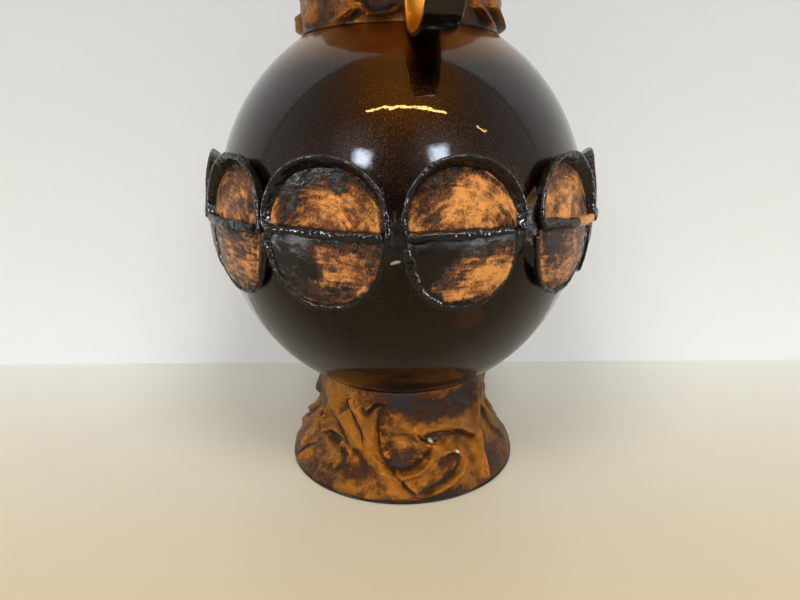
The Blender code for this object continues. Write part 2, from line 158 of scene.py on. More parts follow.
# The same for medallions, in shares of the half width and of the half's height: middle, half sizes and
# amount. "up" is above the bar and "down" below it, with heights counted away from the bar. Medallions that
# the table leaves out vary one of these. The dark marks along the top of an upper half and just under the
# bar are partly painted shade, under the rim and under the bar.
PAD_MARKS = {
    FRONT_LEFT: {
        "up": [(-0.62, 0.42, 0.27, 0.4, 0.74), (-0.15, 0.86, 0.6, 0.32, 1.0), (0.35, 0.88, 0.5, 0.28, 0.6),
               (0.3, 0.13, 0.22, 0.1, 0.28), (0.8, 0.75, 0.25, 0.3, 0.3), (-0.93, 0.12, 0.16, 0.22, -0.4),
               (0.1, 0.4, 0.35, 0.3, -0.2)],
        "down": [(-0.75, 0.06, 0.4, 0.22, 1.3), (-0.9, 0.3, 0.22, 0.28, 0.9), (-0.45, 0.22, 0.28, 0.17, 1.2),
                 (-0.22, 0.36, 0.2, 0.14, 1.0), (-0.02, 0.52, 0.15, 0.1, 0.8), (0.3, 0.0, 0.9, 0.15, 0.9),
                 (-0.55, 0.66, 0.4, 0.28, 0.4), (-0.3, 1.0, 0.8, 0.18, 0.7), (0.1, 0.8, 0.5, 0.16, 0.36),
                 (0.8, 0.3, 0.14, 0.12, 0.45)]},
    FRONT_RIGHT: {
        "up": [(-0.6, 0.42, 0.24, 0.34, 0.62), (-0.1, 0.84, 0.6, 0.3, 0.9), (0.72, 0.14, 0.25, 0.1, 0.62),
               (0.75, 0.75, 0.2, 0.3, 0.35), (-0.95, 0.1, 0.2, 0.2, -0.4), (0.15, 0.4, 0.35, 0.3, -0.25)],
        "down": [(-0.62, 0.35, 0.45, 0.36, 1.25), (0.1, 0.0, 1.4, 0.27, 1.25), (-0.55, 0.95, 0.5, 0.22, 1.0),
                 (0.1, 1.04, 1.0, 0.29, 1.3), (1.05, 0.7, 0.22, 0.6, 0.9), (-0.2, 0.7, 0.36, 0.06, -1.0),
                 (0.38, 0.54, 0.45, 0.25, -0.45)]},
    LEFT: {
        "up": [(0.0, 1.0, 0.8, 0.36, 0.6), (0.55, 0.3, 0.1, 0.14, 0.7), (-0.9, 0.5, 0.12, 0.5, 0.4),
               (0.1, 0.5, 1.2, 0.5, 0.12)],
        "down": [(0.45, 0.05, 0.8, 0.2, 0.5), (0.2, 0.8, 0.6, 0.2, 0.15), (-0.7, 0.35, 0.16, 0.35, 0.6),
                 (0.0, 1.0, 0.9, 0.13, 0.7), (0.9, 0.5, 0.1, 0.5, 0.55)]},
    RIGHT: {
        "up": [(0.1, 0.95, 0.7, 0.3, 0.8), (-0.5, 0.12, 0.12, 0.12, 0.35), (0.7, 0.25, 0.2, 0.3, 0.35),
               (-0.2, 0.4, 0.3, 0.3, -0.2)],
        "down": [(-0.4, 0.25, 0.45, 0.3, 0.6), (0.9, 0.3, 0.2, 0.3, 0.4), (-0.1, 1.0, 0.9, 0.1, 0.5)]},
}
# How far the upper rims reach out past their outline at the left and at the right, in mm.
RIM_REACH = {FRONT_LEFT: (0.5, 1.3), FRONT_RIGHT: (1.0, 1.4)}
# How each front medallion's rim leans out, in mm: mean, swing and where round the rim it leans most in
# radians, for the upper rim and for the lower one. The others draw theirs from their seed.
RIM_LEANS = {FRONT_LEFT: ((1.9, 1.1, 2.3), (0.5, 0.3, 4.0)), FRONT_RIGHT: ((2.0, 1.6, 0.7), (2.2, 0.9, 4.4)),
             LEFT: ((1.6, 0.5, 1.6), (0.6, 0.3, 4.5)), RIGHT: ((2.4, 0.5, 1.2), (2.4, 0.6, 4.5))}


def linear(hex_colour):
    """An sRGB hex colour as linear red, green and blue."""
    channels = [int(hex_colour[i:i + 2], 16) / 255 for i in (1, 3, 5)]
    return tuple(c / 12.92 if c <= 0.04045 else ((c + 0.055) / 1.055) ** 2.4 for c in channels)


def length(name, description, default):
    """A length in metres as a property."""
    return FloatProperty(name=name, description=description, default=default, unit="LENGTH", precision=4)


def colour(name, description, hex_colour):
    """An sRGB hex colour as a property."""
    return FloatVectorProperty(name=name, description=description, default=linear(hex_colour),
                               subtype="COLOR", size=3, min=0, max=1)


lower_box, upper_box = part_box("bowl_lower"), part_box("bowl_upper")
ring_box, lip_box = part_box("foot_ring"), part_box("mouth_lip")
seam_height = (lower_box[1].z + upper_box[0].z) / 2


class VaseSizes(bpy.types.PropertyGroup):
    body_radius: length("Body radius", "Radius of the body at its widest", upper_box[1].x)
    body_half_height: length("Body half height", "From the middle of the body to its pole",
                             seam_height - lower_box[0].z)
    body_centre: length("Body middle", "Height of the body's middle above the floor", seam_height)
    body_wall: length("Body wall", "Thickness of the two bowls", 0.0015)
    mouth_radius: length("Body mouth", "Radius of the hole in the upper bowl", 0.0475)
    foot_radius: length("Foot radius", "Radius of the foot at the floor", ring_box[1].x)
    foot_waist: length("Foot waist", "Radius of the foot under the body", 0.050)
    foot_flare: length("Foot flare", "Height over which the foot bells out", 0.033)
    ring_height: length("Foot ring height", "Height of the ring under the foot", ring_box[1].z)
    ring_width: length("Foot ring width", "Width of the ring under the foot", 0.0045)
    neck_waist: length("Neck waist", "Radius of the neck at the shoulder", 0.0518)
    neck_mouth: length("Neck mouth", "Radius of the neck at the mouth", 0.064)
    neck_flare: length("Neck flare", "Height over which the neck bells out", 0.035)
    neck_top: length("Neck top", "Height of the mouth", (lip_box[0].z + lip_box[1].z) / 2)
    lip: length("Lip thickness", "Thickness of the rolled lip", lip_box[1].z - lip_box[0].z)
    lining: length("Lining wall", "Thickness of the neck tube and the foot cone", 0.0012)
    skin_depth: length("Skin depth", "Room between the skin's face and the lining", 0.0012)
    strap_width: length("Strap width", "Width of the strap", 0.016)
    strap_thickness: length("Strap thickness", "Thickness of the strap", 0.0026)
    strap_reach: length("Strap reach", "How far the loop stands out", 0.0494)
    strap_height: length("Strap height", "Height of the loop", 0.05)
    strap_drop: length("Strap drop", "How far the loop hangs below the shoulder", 0.009)
    strap_azimuth: FloatProperty(name="Strap azimuth", description="Where the strap stands round the neck",
                                 default=math.radians(9.9), subtype="ANGLE")
    pod_count: IntProperty(name="Medallions", description="Medallions in the belt", default=11,
                           min=3, max=30)
    pod_azimuth: FloatProperty(name="First medallion", description="Azimuth of the first medallion",
                               default=math.radians(14.8), subtype="ANGLE")
    pod_line_rise: length("Bar line rise", "Height of the bars above the body's middle", 0.0027)
    pod_half_width: length("Medallion half width", "Half the width of one medallion",
                           math.pi * 0.1 / 11 - 0.00265)
    pod_upper: length("Medallion upper height", "From the bar line to the top", 0.030)
    pod_lower: length("Medallion lower height", "From the bar line to the bottom", 0.0339)
    rim_stand: length("Upper rim stand", "How far the upper rim stands off the body", 0.0078)
    lower_stand: length("Lower rim stand", "How far the lower rim stands off the body", 0.0053)
    bar_stand: length("Bar stand", "How far the bar stands off the body", 0.0078)


class VaseFinish(bpy.types.PropertyGroup):
    lacquer: colour("Body lacquer", "Ground of the body's lacquer", "#160b03")
    amber: colour("Amber lacquer", "The body's lacquer where it is thin, near the neck", "#9c6204")
    flake: colour("Flake", "Copper flake in the body's lacquer", "#c08a48")
    strap_gold: colour("Strap's inside", "Golden copper inside the strap", "#c07c14")
    black: colour("Black lacquer", "Lacquer on the rims, bars and strap", "#14100d")
    copper: colour("Copper", "Rubbed copper paint in full light", "#f0a654")
    deep_copper: colour("Deep copper", "Copper paint where it is thin", "#683812")
    gold: colour("Golden copper", "Rubbed copper paint on the foot and the neck", "#935d13")
    deep_gold: colour("Deep golden copper", "The same paint where it is thin", "#3e1d06")
    # Also the colour of painted shade: in the skins' creases, low spots and shade bands, and on the pads under
    # the bars and rims.
    patina: colour("Patina", "Black patina in the hollows", "#170f07")
    chip: colour("Chip", "Pale ground where the paint has come off", "#c9cabb")
    # The table's two colours paint light: shade at the front and the wall's sheen at the back.
    table: colour("Table", "The table top in front", "#cdb78f")
    far_table: colour("Far table", "The table top at the wall", "#d7d4c9")
    wall: colour("Wall", "The wall behind", "#f1f2f1")


def bell(share):
    """0 at share 0 and 1 at share 1, level at both ends: (1 - cos(pi share)) / 2."""
    return (1 - np.cos(np.pi * np.clip(share, 0, 1))) / 2


def mix(start, end, share):
    """The start at share 0 and the end at share 1, in a straight line between them."""
    return start + (end - start) * share


def power(value, exponent):
    """The value raised to the exponent, with its sign kept."""
    return np.copysign(np.abs(value) ** exponent, value)


def noise(points, size, seed):
    """Smooth lattice noise from -1 to 1.

    Each corner of a cube of the given size has a hashed value, and the eight are blended by
    10 t^3 - 15 t^4 + 6 t^5 along each axis.
    """
    place = np.asarray(points) / size
    cell = np.floor(place).astype(np.int64)
    t = place - cell
    t = t ** 3 * (10 - 15 * t + 6 * t * t)
    total = np.zeros(place.shape[:-1])
    for corner in itertools.product((0, 1), repeat=3):
        c = cell + np.array(corner)
        mixed = (c[..., 0] * 73856093) ^ (c[..., 1] * 19349663) ^ (c[..., 2] * 83492791) ^ (seed * 2654435)
        mixed = (mixed & 0xffffffff).astype(np.uint64)
        mixed = ((mixed ^ (mixed >> np.uint64(15))) * np.uint64(2246822519)) & np.uint64(0xffffffff)
        mixed = ((mixed ^ (mixed >> np.uint64(13))) * np.uint64(3266489917)) & np.uint64(0xffffffff)
        value = ((mixed ^ (mixed >> np.uint64(16))) & np.uint64(0xffff)).astype(float) / 32767.5 - 1
        total += value * np.prod(np.where(corner, t, 1 - t), axis=-1)
    return total


def ridged(points, size, seed):
    """Crests where the noise crosses zero: (1 - |noise|)^3, from 0 to 1."""
    return (1 - np.abs(noise(points, size, seed))) ** 3


def stack(*parts):
    """The parts side by side along a new last axis, stretched to one shape."""
    return np.stack(np.broadcast_arrays(*parts), axis=-1)


def polar(radius, azimuth, height):
    """Points about the axis: x = r sin a, y = -r cos a, z = height."""
    return stack(radius * np.sin(azimuth), -radius * np.cos(azimuth), height)


# Meshes

def surface(name, grid, poles=False, **attributes):
    """A closed mesh from rows of points.

    Each row closes into a ring, and the rows close on themselves or end in poles.
    """
    rows, columns = grid.shape[:2]
    points = grid.reshape(-1, 3)
    row = np.arange(rows - 1 if poles else rows)[:, None] * columns
    next_row = (row + columns) % (rows * columns)
    column = np.arange(columns)[None, :]
    after = (column + 1) % columns
    quads = stack(row + column, row + after, next_row + after, next_row + column).reshape(-1, 4)
    fans = np.zeros((0, 3), int)
    if poles:
        points = np.concatenate([points, grid[0].mean(0)[None], grid[-1].mean(0)[None]])
        ring, step = column[0], after[0]
        last_ring = (rows - 1) * columns
        fans = np.concatenate([stack(rows * columns, step, ring),
                               stack(rows * columns + 1, last_ring + ring, last_ring + step)])
    corners = points[np.concatenate([quads[:, :3], quads[:, [0, 2, 3]], fans])]
    if np.einsum("ij,ij->", corners[:, 0], np.cross(corners[:, 1], corners[:, 2])) < 0:
        quads, fans = quads[:, ::-1], fans[:, ::-1]
    mesh = bpy.data.meshes.new(name)
    mesh.vertices.add(len(points))
    mesh.vertices.foreach_set("co", points.astype(np.float32).ravel())
    mesh.loops.add(quads.size + fans.size)
    mesh.loops.foreach_set("vertex_index", np.concatenate([quads.ravel(), fans.ravel()]).astype(np.int32))
    mesh.polygons.add(len(quads) + len(fans))
    starts = np.concatenate([np.arange(len(quads)) * 4, quads.size + np.arange(len(fans)) * 3])
    mesh.polygons.foreach_set("loop_start", starts.astype(np.int32))
    mesh.update(calc_edges=True)
    mesh.shade_smooth()
    for label, values in attributes.items():
        flat = np.broadcast_to(values, grid.shape[:2]).reshape(-1)
        if poles:
            flat = np.concatenate([flat, flat[:1], flat[-1:]])
        mesh.attributes.new(label, "FLOAT", "POINT").data.foreach_set("value", flat.astype(np.float32))
    return mesh


def add_piece(name, grid, material, slot, *replaced, **shape):
    """A closed surface as an object that rides on the vase and stands for the CAD nodes it replaces."""
    piece = bpy.data.objects.new(name, surface(name, grid, **shape))
    piece.data.materials.append(material)
    bpy.context.scene.collection.objects.link(piece)
    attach(piece, ROOT)
    if replaced:
        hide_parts(*replaced)


def circle(count):
    """Angles round a full turn, evenly spaced."""
    return np.arange(count) / count * math.tau


def turned(profile, columns):
    """Rows of (radius, height) turned about Z."""
    return polar(profile[:, :1], circle(columns), profile[:, 1:])


def ring_section(middle, height, half_width, half_height, count, fullness):
    """Points round a filled-out ellipse: w |cos a|^(2/n) and h |sin a|^(2/n) with their signs kept."""
    angle = circle(count)
    return stack(middle + half_width * power(np.cos(angle), 2 / fullness),
                 height + half_height * power(np.sin(angle), 2 / fullness))


def rounded_path(points):
    """Corner cutting: every corner gives way to points at 1/4 and 3/4 of its sides, three times over."""
    points = np.asarray(points, float)
    for _ in range(3):
        near, far = mix(points[:-1], points[1:], 0.25), mix(points[:-1], points[1:], 0.75)
        points = np.concatenate([points[:1], np.stack([near, far], axis=1).reshape(-1, 2), points[-1:]])
    return points


# Materials

def connect(socket, value):
    """Links an input to another node's output, or sets it to a value. A colour gets an alpha of 1."""
    if isinstance(value, bpy.types.NodeSocket):
        socket.id_data.links.new(value, socket)
    else:
        socket.default_value = (*value, 1) if socket.type == "RGBA" else value


def in_use(sockets):
    """The sockets that a node shows with its present settings."""
    return [socket for socket in sockets if socket.enabled]


def add_node(tree, kind, *inputs, output=0, **settings):
    """Adds a node and gives back one of its outputs, by name or by its place among those in use.

    A setting is a property of the node or an input by name. The other inputs come in the node's own order.
    """
    node = tree.nodes.new(f"ShaderNode{kind}")
    for name, value in settings.items():
        if name in node.inputs:
            connect(node.inputs[name], value)
        else:
            setattr(node, name, value)
    for socket, value in zip(in_use(node.inputs), inputs):
        connect(socket, value)
    return node.outputs[output] if isinstance(output, str) else in_use(node.outputs)[output]


def new_material(name):
    """A new material, a function that adds nodes to it, and the place on the object for its patterns."""
    material = bpy.data.materials.new(name)
    material.use_nodes = True
    add = partial(add_node, material.node_tree)
    return material, add, add("TexCoord", output="Object")


def shade(material, **inputs):
    """Fills the inputs of the material's shader and gives the material back."""
    shader = material.node_tree.nodes["Principled BSDF"]
    for name, value in inputs.items():
        connect(shader.inputs[name.replace("_", " ")], value)
    return material


def body_lacquer(finish):
    """Metal-flake lacquer on spun brass.

    A dark brown ground with copper flakes scatters the lamps into a broad brown glow, and the clear coat
    over it mirrors the room. Flakes of about 0.2 mm are drawn as 0.5 mm grain so that they show, with a few
    larger ones. The lacquer thins to amber near the neck, and turns deep copper in one patch below the
    medallions.
    """
    material, add, place = new_material("flake_lacquer")
    grain = add("TexNoise", place, Scale=1 / (0.55 * MM), Detail=2.0, Roughness=0.7)
    grained = add("MapRange", grain, 0.5, 0.72, 0.0, 0.065)
    specks = add("TexVoronoi", place, Scale=1 / (0.75 * MM))
    sparse = add("MapRange", add("SeparateColor", specks.node.outputs["Color"]), 0.86, 1.0, 0.0, 0.5)
    near = add("MapRange", specks, 0.26, 0.1, 0.0, 1.0)
    flake = add("Math", sparse, near, operation="MULTIPLY")
    both = add("Math", flake, grained, operation="MAXIMUM")
    ground = add("Mix", both, finish.lacquer, finish.flake, data_type="RGBA")
    height = add("SeparateXYZ", place, output="Z")
    thin = add("MapRange", height, 0.216, 0.238, 0.0, 0.75, interpolation_type="SMOOTHSTEP")
    glazed = add("Mix", thin, ground, finish.amber, data_type="RGBA")
    away = add("VectorMath", place, (0.030, -0.089, 0.110), operation="DISTANCE")
    # One patch below the medallions turns deep copper.
    copper_patch = add("MapRange", away, 11 * MM, 2 * MM, 0.0, 0.32, interpolation_type="SMOOTHSTEP")
    waves = add("TexNoise", place, Scale=1 / (6 * MM), Detail=2.5)
    swell = add("Bump", Strength=0.4, Distance=0.14 * MM, Height=waves)
    return shade(material, Base_Color=add("Mix", copper_patch, glazed, finish.deep_copper, data_type="RGBA"),
                 Normal=add("Bump", Strength=0.3, Distance=0.12 * MM, Height=grain, Normal=swell),
                 Metallic=1.0, Roughness=0.4,
                 Coat_Weight=1.0, Coat_IOR=1.36, Coat_Roughness=0.03, Coat_Normal=swell)


def black_lacquer(finish):
    """Black gloss lacquer brushed over hand-worked metal: thick, wavy and glassy, with runs and beads."""
    material, add, place = new_material("black_gloss_lacquer")
    runs = add("TexNoise", place, Scale=1 / (3.2 * MM), Detail=2.0, Roughness=0.45)
    dust = add("TexNoise", place, Scale=1 / (0.9 * MM), Detail=2.0)
    spots = add("MapRange", dust, 0.68, 0.8, 0.0, 0.3)
    return shade(material, Base_Color=add("Mix", spots, finish.black, finish.deep_copper, data_type="RGBA"),
                 Roughness=add("MapRange", runs, 0.3, 0.7, 0.04, 0.1), IOR=1.45,
                 Normal=add("Bump", Strength=1.0, Distance=0.9 * MM, Height=runs))


def rubbed_copper(finish, name, bright, deep, start, clean, metal, grain, smooth):
    """Copper paint rubbed over black patina on rough metal.

    The patina attribute says how far the black shows, from the start on. It carries real patina, and also the
    painted shade that the skins and pads lay into it. Grit of one grain breaks it up into fine specks, and
    pits of four grains and small black dots into patches. Blotches of 8 mm turn the bare copper from bright
    to deep, from the clean level on. The copper is satin metal under a thin varnish and the patina is
    glossy: rough where it is thin, and as smooth as asked where it lies thick. The attribute "chip" bares
    the pale ground.
    """
    material, add, place = new_material(name)
    grit = add("TexNoise", place, Scale=1 / grain, Detail=4.0, Roughness=0.7)
    pits = add("TexNoise", place, Scale=1 / (4.3 * grain), Detail=3.0, Roughness=0.6)
    blotches = add("TexNoise", place, Scale=1 / (8 * MM), Detail=3.0, Roughness=0.6)
    # Patina, and painted shade laid into the same attribute.
    patina = add("Attribute", attribute_name="patina", output="Fac")
    broken = add("Math", grit, 1.3, -0.65, operation="MULTIPLY_ADD")
    spotty = add("Math", pits, 1.1, -0.55, operation="MULTIPLY_ADD")
    both = add("Math", broken, spotty, operation="ADD")
    total = add("Math", both, patina, operation="ADD")
    specks = add("TexVoronoi", place, Scale=1 / (2.1 * grain))
    chosen = add("MapRange", add("SeparateColor", specks.node.outputs["Color"]), 0.7, 0.8, 0.0, 0.8)
    near = add("MapRange", specks, 0.3, 0.14, 0.0, 1.0)
    speck = add("Math", chosen, near, operation="MULTIPLY")
    dusted = add("Math", grit, 1.5, total, operation="MULTIPLY_ADD")
    covered = add("MapRange", dusted, start + 0.78, start + 0.94, 0.0, 1.0)
    black = add("Math", covered, speck, operation="MAXIMUM")
    worn = add("Math", blotches, 1.5, total, operation="MULTIPLY_ADD")
    copper = add("Mix", add("MapRange", worn, clean, clean + 0.6, 0.0, 1.0), bright, deep, data_type="RGBA")
    ground = add("Mix", black, copper, finish.patina, data_type="RGBA")
    bared = add("MapRange", add("Attribute", attribute_name="chip", output="Fac"), 0.45, 0.55, 0.0, 1.0)
    sheen = add("MapRange", black, 0.0, 1.0, metal, 0.05)
    strength = add("MapRange", patina, 0.75, 1.05, 1.0, smooth)
    relief = add("Bump", Strength=strength, Distance=0.7 * MM, Height=both)
    return shade(material, Base_Color=add("Mix", bared, ground, finish.chip, data_type="RGBA"),
                 Roughness=add("MapRange", black, 0.0, 1.0, 0.42 - 0.2 * metal, 0.3 - 0.2 * metal),
                 Metallic=add("Math", sheen, bared, operation="SUBTRACT", use_clamp=True),
                 Specular_IOR_Level=add("MapRange", black, 0.0, 1.0, 0.5, 0.36), Normal=relief,
                 Coat_Weight=add("MapRange", black, 0.0, 1.0, 0.15, 0.0),
                 Coat_Roughness=0.08, Coat_Normal=relief)


def skin_copper(finish):
    """The golden, coarser copper paint of the foot and the neck."""
    return rubbed_copper(finish, "rubbed_copper_skin", finish.gold, finish.deep_gold,
                         start=0.56, clean=0.45, metal=0.86, grain=1.05 * MM, smooth=1.0)


def strap_metal(finish):
    """Strap of brass sheet, black lacquer outside and rubbed copper inside.

    The attribute "inside" tells the two apart, with a ragged edge between them.
    """
    material, add, place = new_material("lacquered_strap")
    wear = add("TexNoise", place, Scale=1 / (2.5 * MM), Detail=4.0)
    edge = add("Math", wear, 0.5, -0.25, operation="MULTIPLY_ADD")
    share = add("Math", add("Attribute", attribute_name="inside", output="Fac"), edge, operation="ADD")
    bright = add("MapRange", share, 0.55, 0.75, 0.0, 1.0)
    tone = add("Mix", wear, finish.gold, finish.strap_gold, data_type="RGBA")
    return shade(material, Base_Color=add("Mix", bright, finish.black, tone, data_type="RGBA"),
                 Metallic=add("MapRange", bright, 0.0, 1.0, 0.0, 0.75),
                 Roughness=add("MapRange", bright, 0.0, 1.0, 0.12, 0.35),
                 Normal=add("Bump", Strength=0.5, Distance=0.25 * MM, Height=wear))


def bare_lining(finish):
    """Brass sheet with thin brown lacquer, as the neck and the foot are left inside: streaky and dull."""
    material, add, place = new_material("lining_brass")
    streaks = add("TexNoise", place, Scale=1 / (4 * MM), Detail=4.0)
    tone = add("Mix", streaks, finish.lacquer, finish.deep_copper, data_type="RGBA")
    relief = add("Bump", Strength=0.4, Distance=0.2 * MM, Height=streaks)
    return shade(material, Base_Color=tone, Normal=relief, Metallic=0.6, Roughness=0.4)


def table_top(finish):
    """Cream laminate board, satin, with faint mottling a few centimetres across.

    It is painted paler towards the wall and darker towards the front: painted light, for the wall's sheen
    at the back and shade at the front. Gloss mirrors it darker, as the room in front of the vase shades it.
    """
    material, add, place = new_material("cream_laminate")
    mottle = add("TexNoise", place, Scale=12.0, Detail=3.0)
    # Painted light: the colour runs from the darker front one to the paler one at the wall.
    back = add("MapRange", add("SeparateXYZ", place, output="Y"), -0.2, 0.14, 0.0, 1.0)
    tone = add("Mix", back, finish.table, finish.far_table, data_type="RGBA")
    faint = add("MapRange", mottle, 0.0, 1.0, 1.0, 0.94)
    dim = add("MapRange", add("LightPath", output="Is Glossy Ray"), 0.0, 1.0, 1.0, 0.62)
    share = add("Math", faint, dim, operation="MULTIPLY")
    return shade(material, Base_Color=add("Mix", share, BLACK, tone, data_type="RGBA"), Roughness=0.34)


def wall_paint(finish):
    """Matt white wall paint, in less light higher up.

    The wall has no back, so that the vase can be seen from behind it.
    """
    material, add, place = new_material("wall_paint")
    mottle = add("TexNoise", place, Scale=6.0, Detail=4.0)
    tone = add("Mix", mottle, finish.wall, [c * 0.96 for c in finish.wall], data_type="RGBA")
    share = add("MapRange", add("SeparateXYZ", place, output="Z"), 0.03, 0.3, 1.0, 0.78)
    shade(material, Base_Color=add("Mix", share, BLACK, tone, data_type="RGBA"), Roughness=0.9)
    nodes = material.node_tree.nodes
    front = nodes["Principled BSDF"].outputs[0]
    choice = add("MixShader", add("NewGeometry", output="Backfacing"), front, add("BsdfTransparent"))
    connect(nodes["Material Output"].inputs["Surface"], choice)
    return material


# Shapes of the vase

def body_radius_at(sizes, height):
    """Radius of the body: R sqrt(1 - (z / H)^2) with z measured from its middle."""
    rise = (height - sizes.body_centre) / sizes.body_half_height
    return sizes.body_radius * np.sqrt(np.clip(1 - rise ** 2, 0, 1))


def on_body(sizes, azimuth, height, stand_off):
    """The point that stands off the body's face, square to it, at an azimuth and a height."""
    rise = height - sizes.body_centre
    radius = body_radius_at(sizes, height)
    across, up = radius / sizes.body_radius ** 2, rise / sizes.body_half_height ** 2
    reach = np.hypot(across, up)
    return polar(radius + stand_off * across / reach, azimuth, height + stand_off * up / reach)


def bowl_arc(sizes, side, inset, from_radius, to_radius, count):
    """Points of the body's half section between two radii, evenly spaced by angle: (R cos a, H sin a)."""
    radius, half_height = sizes.body_radius - inset, sizes.body_half_height - inset
    start, end = np.arccos(np.clip(np.array([from_radius, to_radius]) / radius, -1, 1))
    angle = np.linspace(start, end, count)
    return stack(radius * np.cos(angle), sizes.body_centre + side * half_height * np.sin(angle))


def foot_radius_at(sizes, height):
    """Upright at the waist and belled out to the floor."""
    return mix(sizes.foot_waist, sizes.foot_radius, bell(1 - height / sizes.foot_flare))


def neck_radius_at(sizes, height):
    """Upright at the shoulder and belled out to the mouth."""
    return mix(sizes.neck_waist, sizes.neck_mouth, bell(1 - (sizes.neck_top - height) / sizes.neck_flare))


def shoulder_height(sizes, radius, side):
    """Height at which the body has a radius, on its upper side (1) or its lower one (-1)."""
    share = math.sqrt(1 - (radius / sizes.body_radius) ** 2)
    return sizes.body_centre + side * sizes.body_half_height * share


def fold(u, v, path, width, height, steep):
    """One lopsided fold along a path, as (rise, crease, shade_band).

    With d the distance to the path and w the fold's width, the rise is exp(-(d / w)^2) on the gentle side
    and exp(-(d / 0.45 w)^2) on the steep one. The crease is a groove 0.9 w out on the steep side, and the
    shade band is a wider stripe there, which the skin darkens as painted shade. All die out at the path's
    ends.
    """
    near = (u > path[:, 0].min() - 4 * width) & (u < path[:, 0].max() + 4 * width)
    near &= (v > path[:, 1].min() - 4 * width) & (v < path[:, 1].max() + 4 * width)
    u_near, v_near = u[near], v[near]
    distance = np.full(u_near.shape, 1e9)
    side, along = np.zeros_like(distance), np.zeros_like(distance)
    segments = len(path) - 1
    for index in range(segments):
        start, step = path[index], path[index + 1] - path[index]
        share = ((u_near - start[0]) * step[0] + (v_near - start[1]) * step[1]) / (step @ step)
        share = np.clip(share, 0, 1)
        du, dv = u_near - start[0] - share * step[0], v_near - start[1] - share * step[1]
        gap = np.hypot(du, dv)
        closer = gap < distance
        side = np.where(closer, np.sign(step[0] * dv - step[1] * du), side)
        along = np.where(closer, (index + share) / segments, along)
        distance = np.where(closer, gap, distance)
    strength = bell(np.minimum(along, 1 - along) * 4)
    on_steep = side == steep
    rise, crease, shade_band = np.zeros_like(u), np.zeros_like(u), np.zeros_like(u)
    rise[near] = height * strength * np.exp(-(distance / np.where(on_steep, 0.45 * width, width)) ** 2)
    crease[near] = strength * on_steep * np.exp(-((distance - 0.9 * width) / (0.22 * width)) ** 2)
    shade_band[near] = strength * on_steep * np.exp(-(distance / (1.5 * width)) ** 2)
    return rise, crease, shade_band


def wild_folds(seed, count, low, high, skipped=(0, 0)):
    """Folds laid at random, in degrees and mm: short curves that lean and hook.

    None enters the skipped azimuths.
    """
    chance = np.random.default_rng(seed)
    found = []
    while len(found) < count:
        azimuth, height = chance.uniform(-180, 180), chance.uniform(low, high)
        heading, turn = chance.uniform(0.15, 0.85) * math.pi, chance.uniform(-0.6, 0.6)
        step = chance.uniform(4, 8)
        points = []
        for _ in range(6):
            points.append((azimuth, height))
            azimuth += math.degrees(step * math.cos(heading) / (SKIN_REACH / MM))
            height += step * math.sin(heading)
            heading += turn
        if all(not skipped[0] < a < skipped[1] for a, _ in points):
            width, rise = chance.uniform(2.2, 4.5), chance.uniform(1.0, 2.3)
            found.append((points, width, rise, chance.choice([-1, 1])))
    return found


def spot(across, up, middle, half_sizes):
    """A soft oval spot: exp(-(x^2 + y^2)) with x and y in half sizes from its middle."""
    return np.exp(-((across - middle[0]) / half_sizes[0]) ** 2 - ((up - middle[1]) / half_sizes[1]) ** 2)


def around(azimuth, middle):
    """How far an azimuth is from a middle one, in degrees from -180 to 180."""
    return np.degrees(np.remainder(azimuth - np.radians(middle) + math.pi, math.tau) - math.pi)


def ovals(azimuth, height, marks):
    """The amount and the spot of each mark: azimuth, height, half sizes and amount, in degrees and mm."""
    for middle, level, half_round, half_up, amount in marks:
        yield amount, spot(around(azimuth, middle), height / MM, (0, level), (half_round, half_up))


def crumpled(points, azimuth, height, folds, seed):
    """Relief of a crumpled skin in metres, and its black patina and painted shade, from 0 to 1.

    The relief adds broad swells, noise crests and the lopsided folds. The black gathers in the folds'
    creases and low spots, partly as patina and partly as painted shade, and in blotches. The shade bands
    beside the folds are painted shade, and the ridges are painted lighter, partly as rubbed copper and partly
    as painted highlight.
    """
    bent = points + 3 * MM * np.stack([noise(points, 14 * MM, seed + k) for k in (5, 6, 7)], axis=-1)
    relief = 0.7 * MM * noise(points, 18 * MM, seed) + 0.65 * MM * ridged(bent, 10 * MM, seed + 1)
    fine = 0.16 * MM * noise(points, 2.6 * MM, seed + 2) + 0.07 * MM * noise(points, 1.2 * MM, seed + 3)
    relief += 0.3 * MM * ridged(bent, 4.5 * MM, seed + 8) - 0.3 * MM
    wobble = 0.35 * MM * noise(points, 6 * MM, seed + 9)
    uneven = np.clip(0.85 + 0.5 * noise(points, 8 * MM, seed + 10), 0.2, 1)
    creases = shade_bands = np.zeros_like(relief)
    for path, width, tall, steep in folds:
        path = np.asarray(path, float)
        middle = path[:, 0].mean()
        flat = rounded_path(stack(np.radians(path[:, 0] - middle) * SKIN_REACH, path[:, 1] * MM))
        across = np.radians(around(azimuth, middle)) * SKIN_REACH
        rise, crease, shade_band = fold(across + wobble, height + wobble, flat, width * MM, tall * MM, steep)
        crease = crease * uneven
        relief = relief + 1.7 * rise * (1 - 0.4 * np.clip(relief / (2.5 * MM), 0, 1)) - 1.4 * MM * crease
        creases, shade_bands = np.maximum(creases, crease), np.maximum(shade_bands, shade_band)
    # Painted shade, partly patina: darker in low spots, creases and shade bands. Lighter on ridges: partly
    # rubbed copper, partly painted highlight.
    low = np.clip(0.4 - relief / (1.6 * MM), 0, 1)
    patina = 0.5 * low + 1.1 * creases ** 2 + 0.25 * shade_bands + 0.2 * noise(points, 13 * MM, seed + 4)
    patina = patina - fine * 0.6 / MM - 0.12 - 0.45 * np.clip(relief / (2.6 * MM), 0, 1)
    return relief + fine, patina


